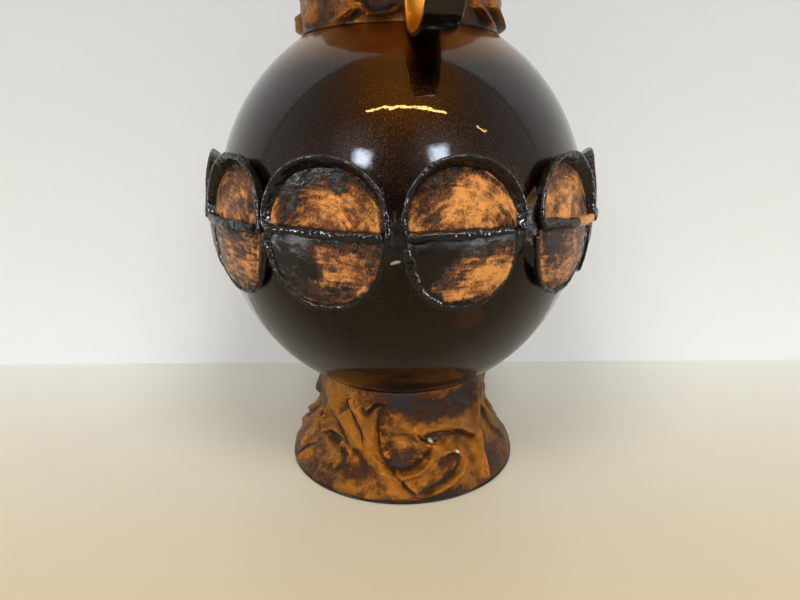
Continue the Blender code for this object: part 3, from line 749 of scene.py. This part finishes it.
def skin(sizes, radius_at, bottom, top, relief_at, columns, rows):
    """A crumpled skin as rows of points, with the patina and painted shade, azimuth and height of each.

    The outer face is the smooth radius less the skin's depth plus the relief. The inner face is smooth.
    """
    height = np.concatenate([np.linspace(top, bottom, rows), np.linspace(bottom, top, 8)])
    azimuth, height = np.meshgrid(circle(columns), height)
    base = radius_at(sizes, height) - sizes.skin_depth
    relief, patina = relief_at(polar(base, azimuth, height), azimuth, height)
    level = (height - bottom) / (top - bottom)
    fade = bell(level / 0.06) * bell((1 - level) / 0.06)
    outer = np.arange(len(height)) < rows
    deepest, inner_face = -0.25 * MM, -0.45 * MM
    base = base + np.where(outer[:, None], np.maximum(SKIN_WALL + fade * relief, deepest), inner_face)
    return polar(base, azimuth, height), patina, azimuth, height


def lining(sizes, radius_at, bottom, top):
    """The smooth tube under a skin: down the outside and up the inside."""
    down, up = np.linspace(top, bottom, 40), np.linspace(bottom, top, 40)
    outer = stack(radius_at(sizes, down) - sizes.skin_depth - 0.5 * MM, down)
    inner = stack(radius_at(sizes, up) - sizes.skin_depth - sizes.lining, up)
    return turned(np.concatenate([outer, inner]), 180)


# Operators

class VASE_OT_stage(bpy.types.Operator):
    """Table, wall, lamps and camera"""
    bl_idname = "vase.stage"
    bl_label = "Stage"

    def execute(self, context):
        scene, finish = context.scene, context.scene.vase_finish
        reach, front, back, top = 3, -0.6, 0.1374, 3  # metres beside, before, behind and above the vase
        for name, near, far, material in (("table", (front, 0), (back, 0), table_top(finish)),
                                          ("wall", (back, 0), (back, top), wall_paint(finish))):
            mesh = bpy.data.meshes.new(name)
            corners = [(-reach, *near), (reach, *near), (reach, *far), (-reach, *far)]
            mesh.from_pydata(corners, [], [(0, 1, 2, 3)])
            mesh.materials.append(material)
            sheet = bpy.data.objects.new(name, mesh)
            scene.collection.objects.link(sheet)
            sheet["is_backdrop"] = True
        for name, place, tilt, across, deep, watts, tint, mirrored in LAMPS:
            lamp = bpy.data.lights.new(name, "AREA")
            lamp.shape = "RECTANGLE"
            lamp.size, lamp.size_y = across, deep
            lamp.energy = watts
            lamp.color = tint
            light = bpy.data.objects.new(name, lamp)
            light.location = place
            light.rotation_euler = [math.radians(turn) for turn in tilt]
            light.visible_glossy, light.visible_diffuse = mirrored, not mirrored
            scene.collection.objects.link(light)
        scene.world = self.room()
        camera_data = bpy.data.cameras.new("photo_camera")
        camera_data.lens = 27
        camera_data.sensor_width = 36
        camera_data.clip_start = 0.01
        camera = bpy.data.objects.new("photo_camera", camera_data)
        place, down, roll = (-0.00104, -0.3451, 0.1907), math.radians(15.67), math.radians(-0.33)
        camera.matrix_world = (Matrix.Translation(place) @ Matrix.Rotation(math.pi / 2 - down, 4, "X")
                               @ Matrix.Rotation(roll, 4, "Z"))
        scene.collection.objects.link(camera)
        scene.camera = camera
        scene.view_settings.view_transform = "Standard"
        return {"FINISHED"}

    def room(self):
        """The room around: what lights and backs the vase is evenly pale.

        What gloss mirrors is dark in front, warm brown overhead and pale at both sides, with two soft
        windows high in front.
        """
        world = bpy.data.worlds.new("room")
        world.use_nodes = True
        add = partial(add_node, world.node_tree)
        direction = add("TexCoord", output="Generated")
        aside = add("Math", add("SeparateXYZ", direction, output="X"), operation="ABSOLUTE")
        total = add("MapRange", aside, 0.25, 0.95, 0.08, 0.6, interpolation_type="SMOOTHSTEP")
        for azimuth, elevation, spread, tint in ROOM_LIGHTS:
            azimuth, elevation = math.radians(azimuth), math.radians(elevation)
            out, up = math.cos(elevation), math.sin(elevation)
            right = math.cos(azimuth), math.sin(azimuth), 0
            forward = math.sin(azimuth), -math.cos(azimuth)
            aim, over = (forward[0] * out, forward[1] * out, up), (-forward[0] * up, -forward[1] * up, out)
            near = add("VectorMath", direction, aim, operation="DOT_PRODUCT")
            glow = add("Math", near, 0.0, operation="MAXIMUM")
            if isinstance(spread, tuple):
                glow = add("Math", glow, 0.5, operation="GREATER_THAN")
                for axis, half in zip((right, over), spread):
                    off = add("VectorMath", direction, axis, operation="DOT_PRODUCT")
                    off = add("Math", off, operation="ABSOLUTE")
                    edge = add("MapRange", off, 1.6 * half, 0.35 * half, interpolation_type="SMOOTHSTEP")
                    glow = add("Math", glow, edge, operation="MULTIPLY")
            else:
                glow = add("Math", glow, spread, operation="POWER")
            patch = add("Mix", glow, BLACK, tint, data_type="RGBA")
            total = add("Mix", 1.0, total, patch, data_type="RGBA", blend_type="ADD")
        mirrored = add("LightPath", output="Is Glossy Ray")
        choice = add("Mix", mirrored, (0.26, 0.27, 0.28), total, data_type="RGBA")
        connect(world.node_tree.nodes["Background"].inputs["Color"], choice)
        return world


class VASE_OT_body(bpy.types.Operator):
    """The two spun bowls of the body"""
    bl_idname = "vase.body"
    bl_label = "Body"

    def execute(self, context):
        sizes = context.scene.vase_sizes
        material = body_lacquer(context.scene.vase_finish)
        tip, gap = 0.4 * MM, 0.02 * MM
        edge = sizes.body_radius - sizes.body_wall
        lower = np.concatenate([bowl_arc(sizes, -1, sizes.body_wall, tip, edge, 30),
                                bowl_arc(sizes, -1, 0, sizes.body_radius, tip, 110)])
        lower[:, 1] = np.minimum(lower[:, 1], sizes.body_centre - gap)
        add_piece("body_lower", turned(lower, TURN_STEPS), material, "brown_lacquer", "bowl_lower", poles=True)
        upper = np.concatenate([bowl_arc(sizes, 1, 0, sizes.mouth_radius, sizes.body_radius, 100),
                                bowl_arc(sizes, 1, sizes.body_wall, edge, sizes.mouth_radius, 30)])
        upper[:, 1] = np.maximum(upper[:, 1], sizes.body_centre + gap)
        add_piece("body_upper", turned(upper, TURN_STEPS), material, "brown_lacquer", "bowl_upper")
        return {"FINISHED"}


class VASE_OT_foot(bpy.types.Operator):
    """The foot: cone, crumpled skin and ring"""
    bl_idname = "vase.foot"
    bl_label = "Foot"

    def execute(self, context):
        sizes, finish = context.scene.vase_sizes, context.scene.vase_finish
        seat = sizes.ring_height
        top = shoulder_height(sizes, sizes.foot_waist - sizes.skin_depth, -1)

        def relief_at(points, azimuth, height):
            folds = FOOT_FOLDS + wild_folds(seed=7, count=30, low=2, high=36, skipped=(-95, 80))
            relief, patina = crumpled(points, azimuth, height, folds, 11)
            for rise, oval in ovals(azimuth, height, FOOT_SWELLS):
                relief += 1.3 * rise * MM * oval
            for amount, oval in ovals(azimuth, height, FOOT_MARKS):
                patina += amount * oval
            behind = bell((np.abs(around(azimuth, 0)) - 80) / 30)
            high = bell((height - 40 * MM) / (12 * MM))
            patina += behind * (0.5 * high + 0.15 * noise(points, 22 * MM, 77))
            lump = spot(around(azimuth, -86) * 0.9, height / MM, (0, 41), (5.2, 5.2))
            relief += 4.0 * MM * lump * (1 + 0.25 * noise(points, 3 * MM, 78))
            return relief, patina + 0.9 * lump

        grid, patina, azimuth, height = skin(sizes, foot_radius_at, seat, top, relief_at,
                                             columns=620, rows=132)
        chip = np.zeros_like(patina)
        for middle, level, radius in FOOT_CHIPS:
            across, up = np.radians(around(azimuth, middle)) * SKIN_REACH, height - level * MM
            distance = (np.abs(across + 0.5 * up) + np.abs(up)) / (radius * MM)
            chip = np.maximum(chip, np.exp(-(distance + 0.2 * noise(grid, 2.4 * MM, 5)) ** 2) * 0.95)
        add_piece("foot_crumpled_skin", grid, skin_copper(finish), "copper_patina", "foot_skin",
                  patina=patina, chip=chip)
        cone_top = shoulder_height(sizes, sizes.foot_waist - sizes.skin_depth - sizes.lining, -1)
        add_piece("foot_inner_cone", lining(sizes, foot_radius_at, seat, cone_top), bare_lining(finish),
                  "black_lacquer", "foot_cone")
        half_width, half_height = sizes.ring_width / 2, sizes.ring_height / 2
        section = ring_section(sizes.foot_radius - half_width, half_height, half_width, half_height, 28, 4)
        add_piece("foot_edge_ring", turned(section, TURN_STEPS), black_lacquer(finish), "black_lacquer",
                  "foot_ring")
        return {"FINISHED"}


class VASE_OT_neck(bpy.types.Operator):
    """The neck: tube, crumpled skin and rolled lip"""
    bl_idname = "vase.neck"
    bl_label = "Neck"

    def execute(self, context):
        sizes, finish = context.scene.vase_sizes, context.scene.vase_finish
        rim = sizes.neck_top - sizes.lip / 2
        seat = shoulder_height(sizes, sizes.neck_waist - sizes.skin_depth, 1)

        def relief_at(points, azimuth, height):
            folds = NECK_FOLDS + wild_folds(seed=23, count=40, low=236, high=282, skipped=(-100, 105))
            folds += wild_folds(seed=29, count=16, low=250, high=282)
            relief, patina = crumpled(points, azimuth, height, folds, 31)
            turn = np.radians(around(azimuth, math.degrees(sizes.strap_azimuth)))
            beside = bell((np.abs(turn) * sizes.neck_waist / sizes.strap_width - 0.45) * 3)
            for amount, oval in ovals(azimuth, height, NECK_MARKS):
                patina += amount * oval
            return relief * beside, patina + bell((236 * MM - height) / (5 * MM)) * 0.2

        grid, patina, _, _ = skin(sizes, neck_radius_at, seat, rim, relief_at, columns=560, rows=126)
        add_piece("neck_crumpled_skin", grid, skin_copper(finish), "copper_patina", "neck_skin",
                  patina=patina, chip=0.0)
        tube_seat = shoulder_height(sizes, sizes.neck_waist - sizes.skin_depth - sizes.lining, 1)
        add_piece("neck_inner_tube", lining(sizes, neck_radius_at, tube_seat, rim), bare_lining(finish),
                  "black_lacquer", "neck_tube")
        section = ring_section(sizes.neck_mouth - sizes.skin_depth, sizes.neck_top, sizes.lip / 2,
                               sizes.lip / 2 - 0.01 * MM, 28, 2)
        add_piece("mouth_rolled_lip", turned(section, TURN_STEPS), black_lacquer(finish), "black_lacquer",
                  "mouth_lip")
        return {"FINISHED"}


class VASE_OT_strap(bpy.types.Operator):
    """The closed strap loop on the neck"""
    bl_idname = "vase.strap"
    bl_label = "Strap"

    def execute(self, context):
        sizes = context.scene.vase_sizes
        # A filled-out ellipse whose inner side is laid on the neck, with a flat section |cos a|^0.3 wide and
        # |sin a|^0.6 thick.
        clearance = 0.3 * MM
        stand_off = SKIN_WALL + clearance + sizes.strap_thickness / 2
        half_reach = (sizes.strap_reach - sizes.strap_thickness) / 2
        half_height = (sizes.strap_height - sizes.strap_thickness) / 2
        bottom = shoulder_height(sizes, sizes.neck_waist, 1) - sizes.strap_drop
        loop = ring_section(sizes.neck_waist + stand_off + half_reach, bottom + sizes.strap_height / 2,
                            half_reach, half_height, 260, 2.6)
        radius, height = loop.T
        radius = np.maximum(radius, neck_radius_at(sizes, height) + stand_off)
        out = np.array([math.sin(sizes.strap_azimuth), -math.cos(sizes.strap_azimuth), 0])
        side = np.array([math.cos(sizes.strap_azimuth), math.sin(sizes.strap_azimuth), 0])
        path = radius[:, None] * out + height[:, None] * np.array([0, 0, 1])
        along = np.roll(path, -1, axis=0) - np.roll(path, 1, axis=0)
        along /= np.linalg.norm(along, axis=1, keepdims=True)
        outward = np.cross(along, side)
        outward *= np.sign((outward * (path - path.mean(0))).sum())
        turn = circle(36)
        across, off = (sizes.strap_width / 2 * power(np.cos(turn), 0.3),
                       sizes.strap_thickness / 2 * power(np.sin(turn), 0.6))
        grid = path[:, None] + side * across[:, None] + outward[:, None] * off[:, None]
        grid += outward[:, None] * (0.15 * MM * noise(grid, 7 * MM, 3))[..., None]
        add_piece("neck_strap", grid, strap_metal(context.scene.vase_finish), "black_lacquer", "strap_loop",
                  inside=0.5 - off / sizes.strap_thickness)
        return {"FINISHED"}


def pod_frame(sizes, number):
    """A function that puts (sideways, up, stand-off) of one medallion on the body, turned and tilted."""
    turn = math.tau * number / sizes.pod_count
    azimuth = sizes.pod_azimuth + turn + POD_WAVES["drift"] * math.sin(POD_WAVES["drift_waves"] * turn)
    tilt = POD_WAVES["tilt"] * math.cos(POD_WAVES["tilt_waves"] * turn + POD_WAVES["tilt_start"])
    stretch = WIDE_POD_SHARE if number == WIDE_POD else 1
    line = sizes.body_centre + sizes.pod_line_rise

    def put(sideways, up, stand_off):
        across = stretch * (sideways * math.cos(tilt) - up * math.sin(tilt))
        rise = sideways * math.sin(tilt) + up * math.cos(tilt)
        return on_body(sizes, azimuth + across / sizes.body_radius, line + rise, stand_off)

    return put


def outline(angle, half_width, upper, lower):
    """A filled-out half ellipse above the line and another below it, as (sideways, up)."""
    up = power(np.sin(angle), 2 / POD_FULLNESS)
    return half_width * power(np.cos(angle), 2 / POD_FULLNESS), np.where(up > 0, upper, lower) * up


def even_path(points, count):
    """A flat path with rounded corners, read off at even steps: sideways, up, way to the right, length."""
    points = rounded_path(points)
    travelled = np.concatenate([[0], np.cumsum(np.hypot(*np.diff(points, axis=0).T))])
    at = np.linspace(0, travelled[-1], count)
    sideways, up = np.interp(at, travelled, points[:, 0]), np.interp(at, travelled, points[:, 1])
    du, dv = np.gradient(sideways), np.gradient(up)
    size = np.hypot(du, dv)
    return sideways, up, (dv / size, -du / size), at


def ribbon(put, path, bottom, stand, thickness, lean, seed, lumps=0.3):
    """A ribbon on edge along a flat path on the body, leaning out from its foot, with rounded ends.

    Its middle line lies the lean times (1 - h / H)^1.3 inside the path at height h, so that its top edge
    follows the path. The section round that line is t |cos a|^0.8 across and |sin a|^0.6 up with their
    signs kept. It tapers to 0.9 of its thickness at the top, and closes at both ends as a quarter circle
    does. Noise makes it uneven.
    """
    sideways, up, (right_s, right_u), at = path
    from_end = np.clip(np.minimum(at, at[-1] - at) / (1.5 * MM), 0.02, 1)
    closing = np.sqrt(1 - (1 - from_end) ** 2)
    angle = circle(28)
    flat = stack(sideways, up, seed * 0.05)
    tall = stand * (1 + 0.05 * noise(flat, 9 * MM, seed + 1))
    half = ((tall - bottom) / 2 * closing)[:, None]
    height = (tall + bottom)[:, None] / 2 + half * power(np.sin(angle), 0.6)
    share = np.clip(height / tall[:, None], 0, 1)
    wide = thickness / 2 * (1 + 0.25 * noise(flat, 6 * MM, seed)) * closing
    across = wide[:, None] * mix(1.1, 0.9, share) * power(np.cos(angle), 0.8)
    sway = (0.3 * MM * noise(flat, 8 * MM, seed + 2))[:, None]
    across = across + lean[:, None] * (1 - share) ** 1.3 + sway

    def place(more_across, more_up):
        reach = across + more_across
        return put(sideways[:, None] + right_s[:, None] * reach, up[:, None] + right_u[:, None] * reach,
                   np.maximum(height + more_up, 0.1 * MM))

    grid = place(0, 0)
    bumps = lumps * noise(grid, 2.4 * MM, seed + 3) + 0.4 * lumps * noise(grid, 1.1 * MM, seed + 4)
    bumps = MM * closing[:, None] * bumps
    return place(bumps * np.cos(angle), 0.6 * bumps * np.sin(angle) * (np.sin(angle) > 0))


class VASE_OT_medallions(bpy.types.Operator):
    """The belt of medallions: pads, rims, bars and the filler between them"""
    bl_idname = "vase.medallions"
    bl_label = "Medallions"

    def execute(self, context):
        sizes, finish = context.scene.vase_sizes, context.scene.vase_finish
        copper = rubbed_copper(finish, "rubbed_copper_pad", finish.copper, finish.deep_copper,
                               start=0.45, clean=0.48, metal=0.55, grain=0.7 * MM, smooth=0.2)
        black = black_lacquer(finish)
        for number in range(sizes.pod_count):
            self.build_one(sizes, number, copper, black)
        return {"FINISHED"}

    def build_one(self, sizes, number, copper, black):
        """The pieces of one medallion, and the filler between it and the next."""
        name, put, seed = f"pod_{number + 1:02d}", pod_frame(sizes, number), 100 + 13 * number
        chance = np.random.default_rng(seed)
        half_width, upper, lower = sizes.pod_half_width, sizes.pod_upper, sizes.pod_lower
        inset, rounding = 1.1 * MM, 1.6 * MM
        half_rim = half_width - inset
        leans = RIM_LEANS.get(number) or (
            (chance.uniform(1.4, 2.4), chance.uniform(0.4, 1.3), chance.uniform(0.6, 2.4)),
            (chance.uniform(0.4, 2.2), 0.3, chance.uniform(4, 5.4)))

        def lean_along(path, lean):
            """How far a rim's top stands out past its foot, along its path."""
            turn = np.arctan2(path[1], path[0])
            return MM * np.maximum(lean[0] + lean[1] * np.cos(turn - lean[2]), 0.1)

        # The upper rim curls under at its left end to meet the bar. Where it leans least it is thickest.
        sideways, up = outline(np.linspace(math.pi - 0.17, 0.0, 60), half_rim, upper - inset, lower)
        left, right = RIM_REACH.get(number, (0.6, 0.6))
        sideways = sideways + MM * np.where(sideways > 0, right, left) * power(sideways / half_width, 1.5)
        curl = np.array([(-0.45, 0.2), (-0.6, -0.1), (-0.8, -0.45), (-0.93, -0.2), (-0.985, 0.9)])
        hook = np.array([(0.98, -0.5), (0.93, -1.0)]) * (half_rim + right * MM, rounding)
        path = even_path(np.concatenate([curl * (half_rim, rounding), stack(sideways, up), hook]), 220)
        lean = lean_along(path, leans[0])
        thickest, thinnest = (4.2, 3.4) if number in (LEFT, RIGHT) else (3.7, 2.3)
        thick = mix(thickest, thinnest, bell(lean / lean.max())) * MM
        grid = ribbon(put, path, 0.3 * MM, sizes.rim_stand - 0.55 * MM, thick, lean, seed, lumps=0.16)
        add_piece(f"{name}_upper_ribbon", grid, black, "black_lacquer", f"{name}_upper_rim", poles=True)

        # The lower rim ends at the bar on both sides, and the right front one is thicker on its left.
        sideways, up = outline(np.linspace(-math.pi + 0.1, -0.1, 60), half_rim, upper, lower - inset)
        path = even_path(stack(sideways, up), 190)
        swing = 0.5 + path[0] / half_width / 2
        stand = mix(sizes.lower_stand - 0.5 * MM, (4.4 if number == RIGHT else 3.3) * MM, bell(swing))
        thick = 2.5 * MM + (2.2 * MM * bell(1.2 - swing) if number == FRONT_RIGHT else 0)
        outward = path[0], path[1], (-path[2][0], -path[2][1]), path[3]
        grid = ribbon(put, outward, 0.3 * MM, stand, thick, lean_along(path, leans[1]), seed + 20,
                      lumps=0.3 if number == FRONT_RIGHT else 0.28)
        add_piece(f"{name}_lower_ribbon", grid, black, "black_lacquer", f"{name}_lower_rim", poles=True)

        # The bar waves a little, and some stop short with a rounded end. One is worn to the copper from its
        # middle to its right end.
        short = {FRONT_LEFT: 0.0, FRONT_RIGHT: 0.16}.get(number, chance.choice([0.0, 0.0, 0.12]))
        across = np.linspace(-half_width + rounding, half_width * (1 - short) - 1.2 * MM, 40)
        rise = 0.5 * MM * noise(stack(across, seed * 0.1, 0.0), 13 * MM, seed) - 0.3 * MM
        path = even_path(stack(across, rise), 170)
        grid = ribbon(put, path, 2.4 * MM, sizes.bar_stand - 0.5 * MM, 4.2 * MM, np.zeros(170), seed + 40)
        along = np.clip((path[0] + half_width) / (2 * half_width), 0, 1)[:, None]
        worn = bell((along - 0.52) / 0.06) if number == RIGHT else 0
        coat = copper if number == RIGHT else black
        add_piece(f"{name}_cross_bar", grid, coat, "black_lacquer", f"{name}_bar",
                  poles=True, patina=1 - 1.2 * worn, chip=0.0)

        grid, patina = self.pad(sizes, put, number, seed)
        add_piece(f"{name}_copper_pad", grid, copper, "copper_patina", f"{name}_pad",
                  poles=True, patina=patina, chip=0.0)

        grid, patina = self.filler(sizes, number, seed)
        chip = 0.0
        if number == FRONT_LEFT:
            x, _, z = np.moveaxis(grid - on_body(sizes, np.radians(-1.6), 0.1385, 3 * MM), -1, 0)
            chip = np.exp(-(x / (2.7 * MM)) ** 2 - ((z - 0.3 * x) / (1.0 * MM)) ** 2)
        add_piece(f"{name}_filler", grid, copper, "black_lacquer", poles=True, patina=patina, chip=chip)

    def pad(self, sizes, put, number, seed):
        """The pad as rings about its middle: out over the top, down the edge and back underneath.

        Above the bar the floor rises from 1.5 mm at the rim to 4.7 mm at the bar. Below it swells like a
        cushion, from 2.4 mm at the rim to 5.4 mm in the middle, with a dip along the bar. Lumps, waves and
        strokes of noise roughen both.
        """
        columns, rows = 300, 100
        share = np.concatenate([np.linspace(0.006, 1, rows), [1.0, 1.0], np.linspace(0.95, 0.02, 5)])
        share = share[:, None]
        angle = (np.arange(columns) + 0.5) / columns * math.tau
        edge_sideways, edge_up = outline(angle, sizes.pod_half_width - 1.9 * MM, sizes.pod_upper - 2.2 * MM,
                                         sizes.pod_lower - 1.6 * MM)
        sideways, up = share * edge_sideways, share * edge_up
        across, climb, fall = sideways / sizes.pod_half_width, up / sizes.pod_upper, -up / sizes.pod_lower
        flat = stack(sideways, up, seed * 0.1)
        marks = PAD_MARKS.get(number)
        if marks is None:
            chance = np.random.default_rng(seed)
            like = list(PAD_MARKS.values())[(number * 3 + 1) % 4]
            marks = {half: [(x + chance.uniform(-0.18, 0.18), y + chance.uniform(-0.08, 0.08),
                             a * chance.uniform(0.8, 1.25), b * chance.uniform(0.8, 1.25), amount)
                            for x, y, a, b, amount in like[half]] for half in like}
        bend = 0.12 * noise(flat, 7 * MM, seed + 6), 0.12 * noise(flat, 7 * MM, seed + 8)
        above, below = (
            0.02 + sum(m[4] * spot(across + bend[0], out + bend[1], m[:2], m[2:4]) for m in marks[half])
            for half, out in (("up", climb), ("down", fall)))
        patina = np.where(up > 0, above, below + 0.2)

        floor = mix(4.7, 1.5, np.clip(climb, 0, 1) ** 0.8) - 0.6 * across ** 2
        dome = np.sqrt(np.clip(1 - across ** 2, 0, 1))
        dome = dome * np.clip(1 - np.clip(fall, 0, 1) ** 2.6, 0, 1) ** 0.6
        cushion = 2.4 + 3.0 * dome - 1.2 * np.exp(-(fall / 0.1) ** 2)
        height = np.where(up > 0, floor, cushion) * MM
        # Rough where the patina is, and brushed in arcs or sideways strokes where the copper is bare.
        rough = np.clip(patina * 1.6, 0.3, 1) * np.where(up > 0, 1, mix(0.25, 1, bell((fall - 0.62) / 0.2)))
        far = np.hypot(sideways + 4 * MM, up + 6 * MM)
        arc = np.arctan2(up + 6 * MM, sideways + 4 * MM) * far.mean()
        arcs = noise(stack(far, 0.18 * arc, seed * 0.1), 0.85 * MM, seed + 2)
        sweeps = noise(stack(0.2 * sideways + 0.3 * up, up, seed * 0.1), 0.9 * MM, seed + 2)
        strokes = np.where(up > 0, arcs, sweeps)
        grains = 0.55 * noise(flat, 2.3 * MM, seed) + 0.45 * noise(flat, 1.2 * MM, seed + 1)
        waves = noise(flat, 6 * MM, seed + 4)
        bare = 1 - bell((patina - 0.5) / 0.3)
        height = height + MM * (0.5 * rough * grains + 0.13 * bare * (1 - rough) * strokes + 0.4 * waves)
        height = np.maximum(height, 0.9 * MM)
        edge_zone = np.exp(-((patina - 0.42) / 0.32) ** 2)
        patina = patina - 0.3 * grains * np.clip(patina * 2.2, 0.3, 1) + (0.1 + 0.3 * edge_zone) * strokes
        patina = patina + 0.16 * noise(flat, 4.5 * MM, seed + 3) + 0.14 * noise(flat, 10 * MM, seed + 5)
        # Painted shade: darker along the bar line, which the bar shades, and round the edge under the rims.
        patina = patina + 0.35 * np.exp(-(up / (2.2 * MM)) ** 2) + 0.3 * bell((share - 0.94) / 0.06)
        ring = np.exp(-((share - 0.93) / 0.025) ** 2) * bell(0.4 + noise(flat, 14 * MM, seed + 11))
        index = np.arange(len(share))[:, None]
        height = np.where(index < rows, height, np.where(index == rows, 0.7 * MM, 0.25 * MM))
        return put(sideways, up, height), patina - 0.45 * ring

    def filler(self, sizes, number, seed):
        """Black filler in the gap to the next medallion: a web that climbs both rims and sags between them.

        Where it ends it dips under the body's face. With c from -1 at one rim to 1 at the other, its top is
        at 11 + 7 |c|^1.5 mm above the bars and its bottom at 15 + 8 |c|^1.5 mm below them.
        """
        here, there = pod_frame(sizes, number), pod_frame(sizes, (number + 1) % sizes.pod_count)
        rows, columns = 110, 72
        up = mix(-25 * MM, 19 * MM, (1 - np.cos(np.linspace(0, math.pi, rows))) / 2)
        level = np.where(up > 0, up / sizes.pod_upper, -up / sizes.pod_lower)
        share = (1 - np.abs(level) ** POD_FULLNESS) ** (1 / POD_FULLNESS)
        reach = sizes.pod_half_width * share - np.where(up > 0, 0.8, 2.4) * MM
        left, right = here(reach, up, 0), there(-reach, up, 0)
        start, end = np.arctan2(left[:, 0], -left[:, 1]), np.arctan2(right[:, 0], -right[:, 1])
        end = start + np.remainder(end - start, math.tau)
        angle = circle(columns)
        across = power(np.cos(angle), 0.8)
        azimuth = ((start + end) / 2)[:, None] + ((end - start) / 2)[:, None] * across
        aside = np.abs(across) ** 1.5
        up = up[:, None]
        there_is = bell(((11 + 7 * aside) * MM - up) / (6 * MM))
        there_is = there_is * bell((up + (15 + 8 * aside) * MM) / (8 * MM))
        line = ((left[:, 2] + right[:, 2]) / 2)[:, None]
        place = on_body(sizes, azimuth, line, 0)
        swell = 0.35 * noise(place, 5 * MM, seed + 7) + 0.14 * noise(place, 1.7 * MM, seed + 8)
        tall = MM * ((2.6 + 1.9 * aside + swell) * there_is + 0.5 * there_is - 0.5)
        height = np.where(np.sin(angle) > 0, mix(-0.6 * MM, tall, np.abs(np.sin(angle)) ** 0.25), -0.6 * MM)
        return on_body(sizes, azimuth, line, height), 1.3 + 0.1 * noise(place, 5 * MM, seed + 9)


class VASE_PT_panel(bpy.types.Panel):
    """Sizes, colours and build steps of the vase"""
    bl_idname = "VASE_PT_panel"
    bl_label = "Metal vase"
    bl_space_type = "VIEW_3D"
    bl_region_type = "UI"
    bl_category = "Vase"

    def draw(self, context):
        for operator in OPERATORS:
            self.layout.operator(operator.bl_idname)
        for group in (context.scene.vase_sizes, context.scene.vase_finish):
            for name in group.__annotations__:
                self.layout.prop(group, name)


OPERATORS = (VASE_OT_stage, VASE_OT_body, VASE_OT_foot, VASE_OT_neck, VASE_OT_strap, VASE_OT_medallions)
CLASSES = (VaseSizes, VaseFinish, *OPERATORS, VASE_PT_panel)


def register():
    for item in CLASSES:
        bpy.utils.register_class(item)
    bpy.types.Scene.vase_sizes = PointerProperty(type=VaseSizes)
    bpy.types.Scene.vase_finish = PointerProperty(type=VaseFinish)


def unregister():
    del bpy.types.Scene.vase_finish
    del bpy.types.Scene.vase_sizes
    for item in reversed(CLASSES):
        bpy.utils.unregister_class(item)


def main():
    register()
    bpy.ops.vase.stage()
    bpy.ops.vase.body()
    bpy.ops.vase.foot()
    bpy.ops.vase.neck()
    bpy.ops.vase.strap()
    bpy.ops.vase.medallions()
    boxes = [[list(map(float, corner)) for corner in box] for box in (cad_box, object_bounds())]


if __name__ == "__main__":
    main()
